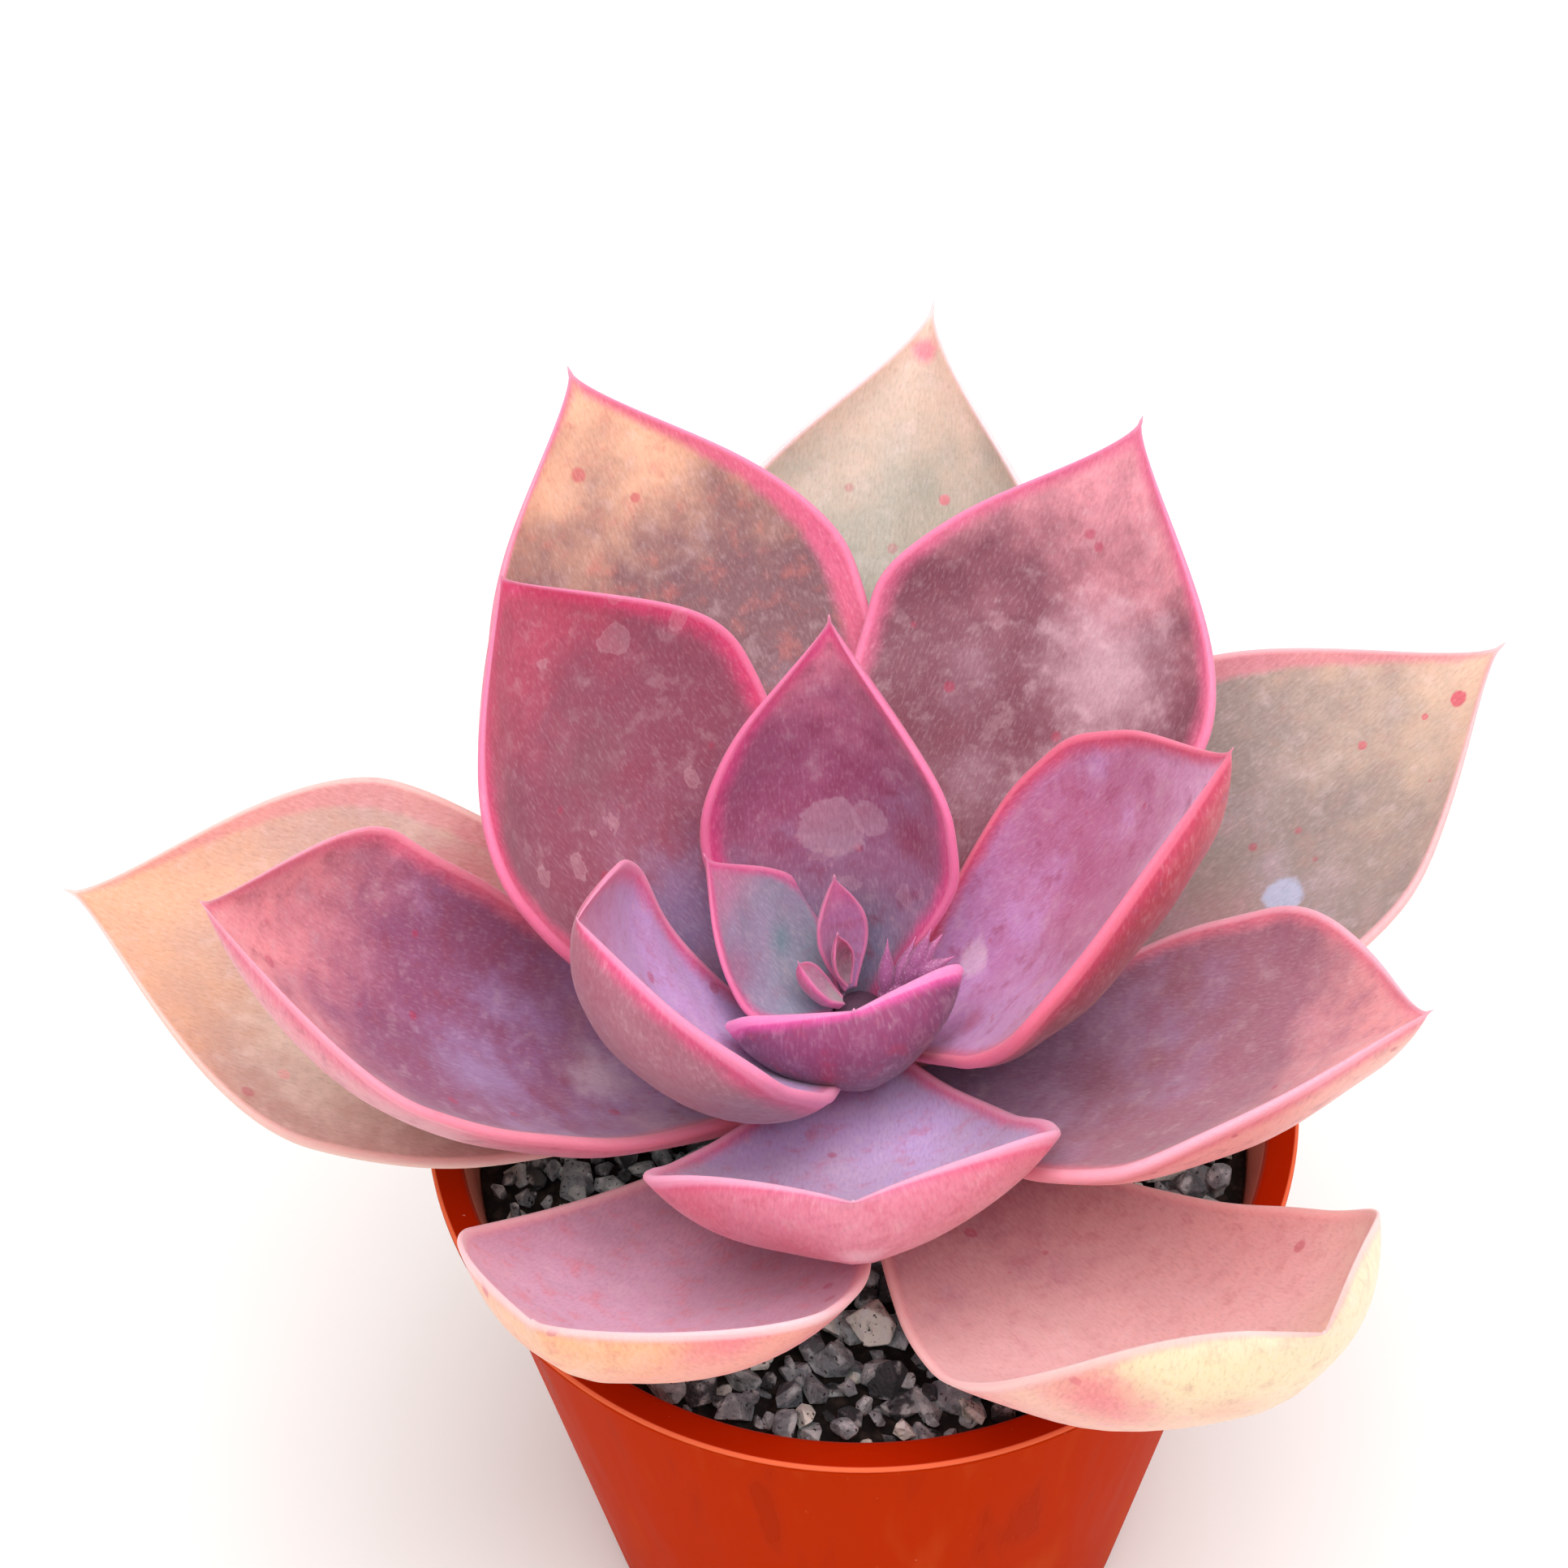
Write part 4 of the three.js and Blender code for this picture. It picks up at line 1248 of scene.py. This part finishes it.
@dataclass(frozen=True)
class GreenStem:
    """A young succulent stem, grown: fleshy green, corky brown lower down, with painted shade in dusky plum
    at its crown.
    """

    def material(self) -> Material:
        """Makes the stem's material."""
        material, tree, place = new_material("corky_green_stem")
        height = add_node(tree, "ShaderNodeSeparateXYZ", {0: place}).outputs["Z"]
        cork = noise(tree, place, 1.5, 5.0)  # cork patches 1.5 mm across
        coats = [
            Layer(height, 0.070, 0.082, 0.9, "#8d9064"),
            Layer(cork, 0.5, 0.7, 0.5, "#9a8568"),
            # Painted shade: the crown, where the heart leaves close over it, is painted a dark plum.
            Layer(height, 0.085, 0.089, 1.0, "#54384a"),
        ]
        colour = paint(tree, "#6e5a44", coats)
        finish_surface(tree, colour, 0.6, cork, 0.3, {"IOR": 1.42})
        return material


@dataclass
class Stem:
    """The short stem with its taproot and side roots."""

    outline: tuple[tuple[float, float], ...] = (
        (34, 0.6), (56, 2.4), (70, 4.2), (82, 4.4), (86, 4), (90, 2.6), (93, 1.2), (95, 0.5),
    )  # height and radius
    crown: float = 90.6  # where the heart leaves close over it
    roots: int = 6
    root_radius: float = 0.7
    root_reach: float = 25.0
    root_top: float = 64.0
    root_drop: float = 30.0
    scar: float = 0.12  # how proud each leaf scar's ring stands
    scar_turn: float = 2.6  # radians for each millimetre up, so a ring each 2.4 mm
    scarred: tuple[float, float] = (66.0, 90.0)  # heights between which there are scars
    finish: GreenStem = GreenStem()

    def radius(self, height: float) -> float:
        """Gives the stem's radius at a height."""
        return float(np.interp(height, *zip(*self.outline)))

    def root(self, index: int) -> Mesh:
        """Makes one side root, thinning to its end."""
        heading = 360 * index / self.roots + 20
        start = np.array([0, 0, self.root_top - 3 * (index % 2)])
        middle = compass(heading, 0.0) * 0.55 * self.root_reach
        end = compass(heading + 15, 0.0) * (self.root_reach - 1)
        middle[2], end[2] = self.root_top - 0.3 * self.root_drop, self.root_top - self.root_drop + 1
        t = np.linspace(0, 1, 14)[:, None]
        path = start * (1 - t) ** 2 + (2 * middle - (start + end) / 2) * 2 * t * (1 - t) + end * t**2
        return tube("root", path, self.root_radius * (1 - 0.6 * t[:, 0]), 10)

    def build(self) -> Object:
        """Builds and dresses the stem, with a ring for each leaf scar."""
        heights = np.linspace(self.outline[0][0], self.crown, 90)
        within = (heights > self.scarred[0]) * (heights < self.scarred[1])
        scars = self.scar * np.maximum(np.sin(heights * self.scar_turn), 0) * within
        profile = [(self.radius(z) + scar, z) for z, scar in zip(heights, scars)]
        shaft = lathe("shaft", [(0, heights[0]), *profile, (0, heights[-1] + 0.3)], 40)
        mesh = join("stem_and_roots", [shaft, *(self.root(i) for i in range(self.roots))])
        stem = place_piece(mesh, ("stem",))
        stem.data.materials.append(self.finish.material())
        return stem


@dataclass(frozen=True)
class BudSkin:
    """The smooth skin of a young flower bud, grown: dusky plum with a paler wax at the base."""

    def material(self) -> Material:
        """Makes the buds' material."""
        material, tree, place = new_material("bud_skin")
        along = add_node(tree, "ShaderNodeAttribute", attribute_name="along").outputs["Fac"]
        grain = noise(tree, place, 0.2, 2.0)  # wax grains of 0.2 mm
        coats = [
            Layer(along, 0.1, 0.5, 1.0, "#a05c88"),
            Layer(along, 0.7, 1.0, 0.9, "#d47aa8"),
            Layer(grain, 0.5, 0.7, 0.3, "#e0b8c8"),
        ]
        colour = paint(tree, "#8a4c74", coats)
        constants = {"IOR": 1.42, "Sheen Weight": 0.2}
        finish_surface(tree, colour, 0.45, grain, 0.04, constants)
        return material


@dataclass(frozen=True)
class Bud:
    """One slim bud on the stalk."""

    along: float
    heading: float
    lean: float
    length: float
    width: float


@dataclass
class FlowerStalk:
    """The young flower stalk beside the heart, with its slim buds."""

    height: float = 92.6
    offset: float = 2.2
    length: float = 4.5
    lean: float = 42.0
    radius: float = 0.7
    sides: int = 14
    buds: tuple[Bud, ...] = (
        Bud(0.1, 80, 74, 6.8, 1.7),
        Bud(0.4, 50, 56, 6, 1.7),
        Bud(0.6, 25, 50, 7, 2.5),
        Bud(0.8, 40, 62, 6.4, 1.9),
        Bud(0.95, 0, 38, 5, 1.9),
    )
    finish: BudSkin = BudSkin()

    def bud(self, bud: Bud, start: np.ndarray) -> Mesh:
        """Makes one bud, fullest low down and drawn out to its point.

        Args:
            bud: The bud's place and size.
            start: Where the stalk begins.

        Returns:
            The closed mesh.
        """
        t = np.linspace(0, 1, 24)
        foot = start + compass(0.0, self.lean) * self.length * bud.along
        path = foot + np.outer(t * bud.length, compass(bud.heading, bud.lean))
        full = 0.35 + 0.65 * np.sin(math.pi * np.minimum(t * 1.15, 1) ** 0.8)
        mesh = tube("bud", path, bud.width / 2 * full * (1 - 0.94 * t**4), self.sides)
        store(mesh, "along", np.append(np.repeat(t, self.sides), (0, 1)))
        return mesh

    def build(self) -> Object:
        """Builds and dresses the stalk with its buds."""
        start = np.array([self.offset, 0, self.height])
        t = np.linspace(0, 1, 12)
        path = start + np.outer(t * self.length, compass(0.0, self.lean))
        shaft = tube("shaft", path, self.radius * (1 - 0.3 * t), self.sides)
        store(shaft, "along", np.append(np.repeat(0.4 * t, self.sides), (0, 0.4)))
        mesh = join("flower_buds", [shaft, *(self.bud(bud, start) for bud in self.buds)])
        stalk = place_piece(mesh, ("flower_stalk",))
        stalk.data.materials.append(self.finish.material())
        return stalk


# ---- studio ----


@dataclass
class Studio:
    """A plain pale floor, soft light from all round and above, and the camera."""

    eye: tuple[float, float, float] = (-6.8, -194.6, 344.3)  # millimetres, like every size here
    pitch: float = 48.4  # degrees down
    roll: float = -2.18
    lens: float = 72.8  # on a 36 mm sensor
    sky: float = 0.72  # strength of the white light from all round
    lamp_place: tuple[float, float, float] = (50.0, -120.0, 1000.0)
    lamp_aim: tuple[float, float, float] = (0.0, 0.0, 90.0)
    lamp_side: float = 900.0
    lamp_watts: float = 10.5
    floor_side: float = 60000.0
    floor_gap: float = 0.2  # keeps the floor from showing through the pot's foot

    def build(self) -> None:
        """Sets up the floor, the light and the camera."""
        self.lay_floor()
        self.light()
        self.aim()
        bpy.context.scene.view_settings.view_transform = "Standard"

    def lay_floor(self) -> None:
        """Lays the pale floor just under the pot."""
        material, tree, place = new_material("pale_floor")
        mottle = noise(tree, place, 40.0, 2.0)  # plaster mottle 40 mm across
        colour = paint(tree, "#efeeec", [Layer(mottle, 0.4, 0.7, 0.4, "#f2f1ef")])
        finish_surface(tree, colour, 0.8, mottle, 0.01, {"Specular IOR Level": 0.1})
        half = self.floor_side / 2 * MM
        corners = [(-half, -half, 0), (half, -half, 0), (half, half, 0), (-half, half, 0)]
        mesh = bpy.data.meshes.new("floor")
        mesh.from_pydata(corners, [], [(0, 1, 2, 3)])
        floor = add_object("floor", mesh)
        floor.data.materials.append(material)
        floor.location.z = -self.floor_gap * MM

    def light(self) -> None:
        """Lights the scene with a white sky and one large soft lamp overhead."""
        world = bpy.data.worlds.new("white_sky")
        world.use_nodes = True
        background = world.node_tree.nodes["Background"]
        background.inputs["Color"].default_value = (1, 1, 1, 1)
        background.inputs["Strength"].default_value = self.sky
        bpy.context.scene.world = world
        lamp = bpy.data.lights.new("overhead", "AREA")
        lamp.energy, lamp.size = self.lamp_watts, self.lamp_side * MM
        source = add_object("overhead", lamp)
        source.location = Vector(self.lamp_place) * MM
        way = Vector(self.lamp_aim) - Vector(self.lamp_place)
        source.rotation_euler = way.to_track_quat("-Z", "Y").to_euler()

    def aim(self) -> None:
        """Places the camera."""
        camera = add_object("camera", bpy.data.cameras.new("camera"))
        camera.data.lens, camera.data.sensor_width = self.lens, 36.0
        camera.data.clip_start = 0.01
        tilt = Matrix.Rotation(math.radians(90 - self.pitch), 4, "X")
        turn = Matrix.Rotation(math.radians(self.roll), 4, "Z")
        camera.matrix_world = Matrix.Translation(Vector(self.eye) * MM) @ tilt @ turn
        bpy.context.scene.camera = camera


def main() -> None:
    """Builds the plant on the loaded frame."""
    logging.basicConfig(level=logging.INFO, format="%(name)s: %(message)s")
    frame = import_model()
    Studio().build()
    Pot().build()
    bed = GritBed()
    bed.build_soil()
    bed.build_grit()
    bed.build_large_stones(sorted(name for name in frame["nodes"] if name.startswith("grit_stone_")))
    stem = Stem()
    stem.build()
    Rosette().build(stem)
    FlowerStalk().build()


if __name__ == "__main__":
    main()
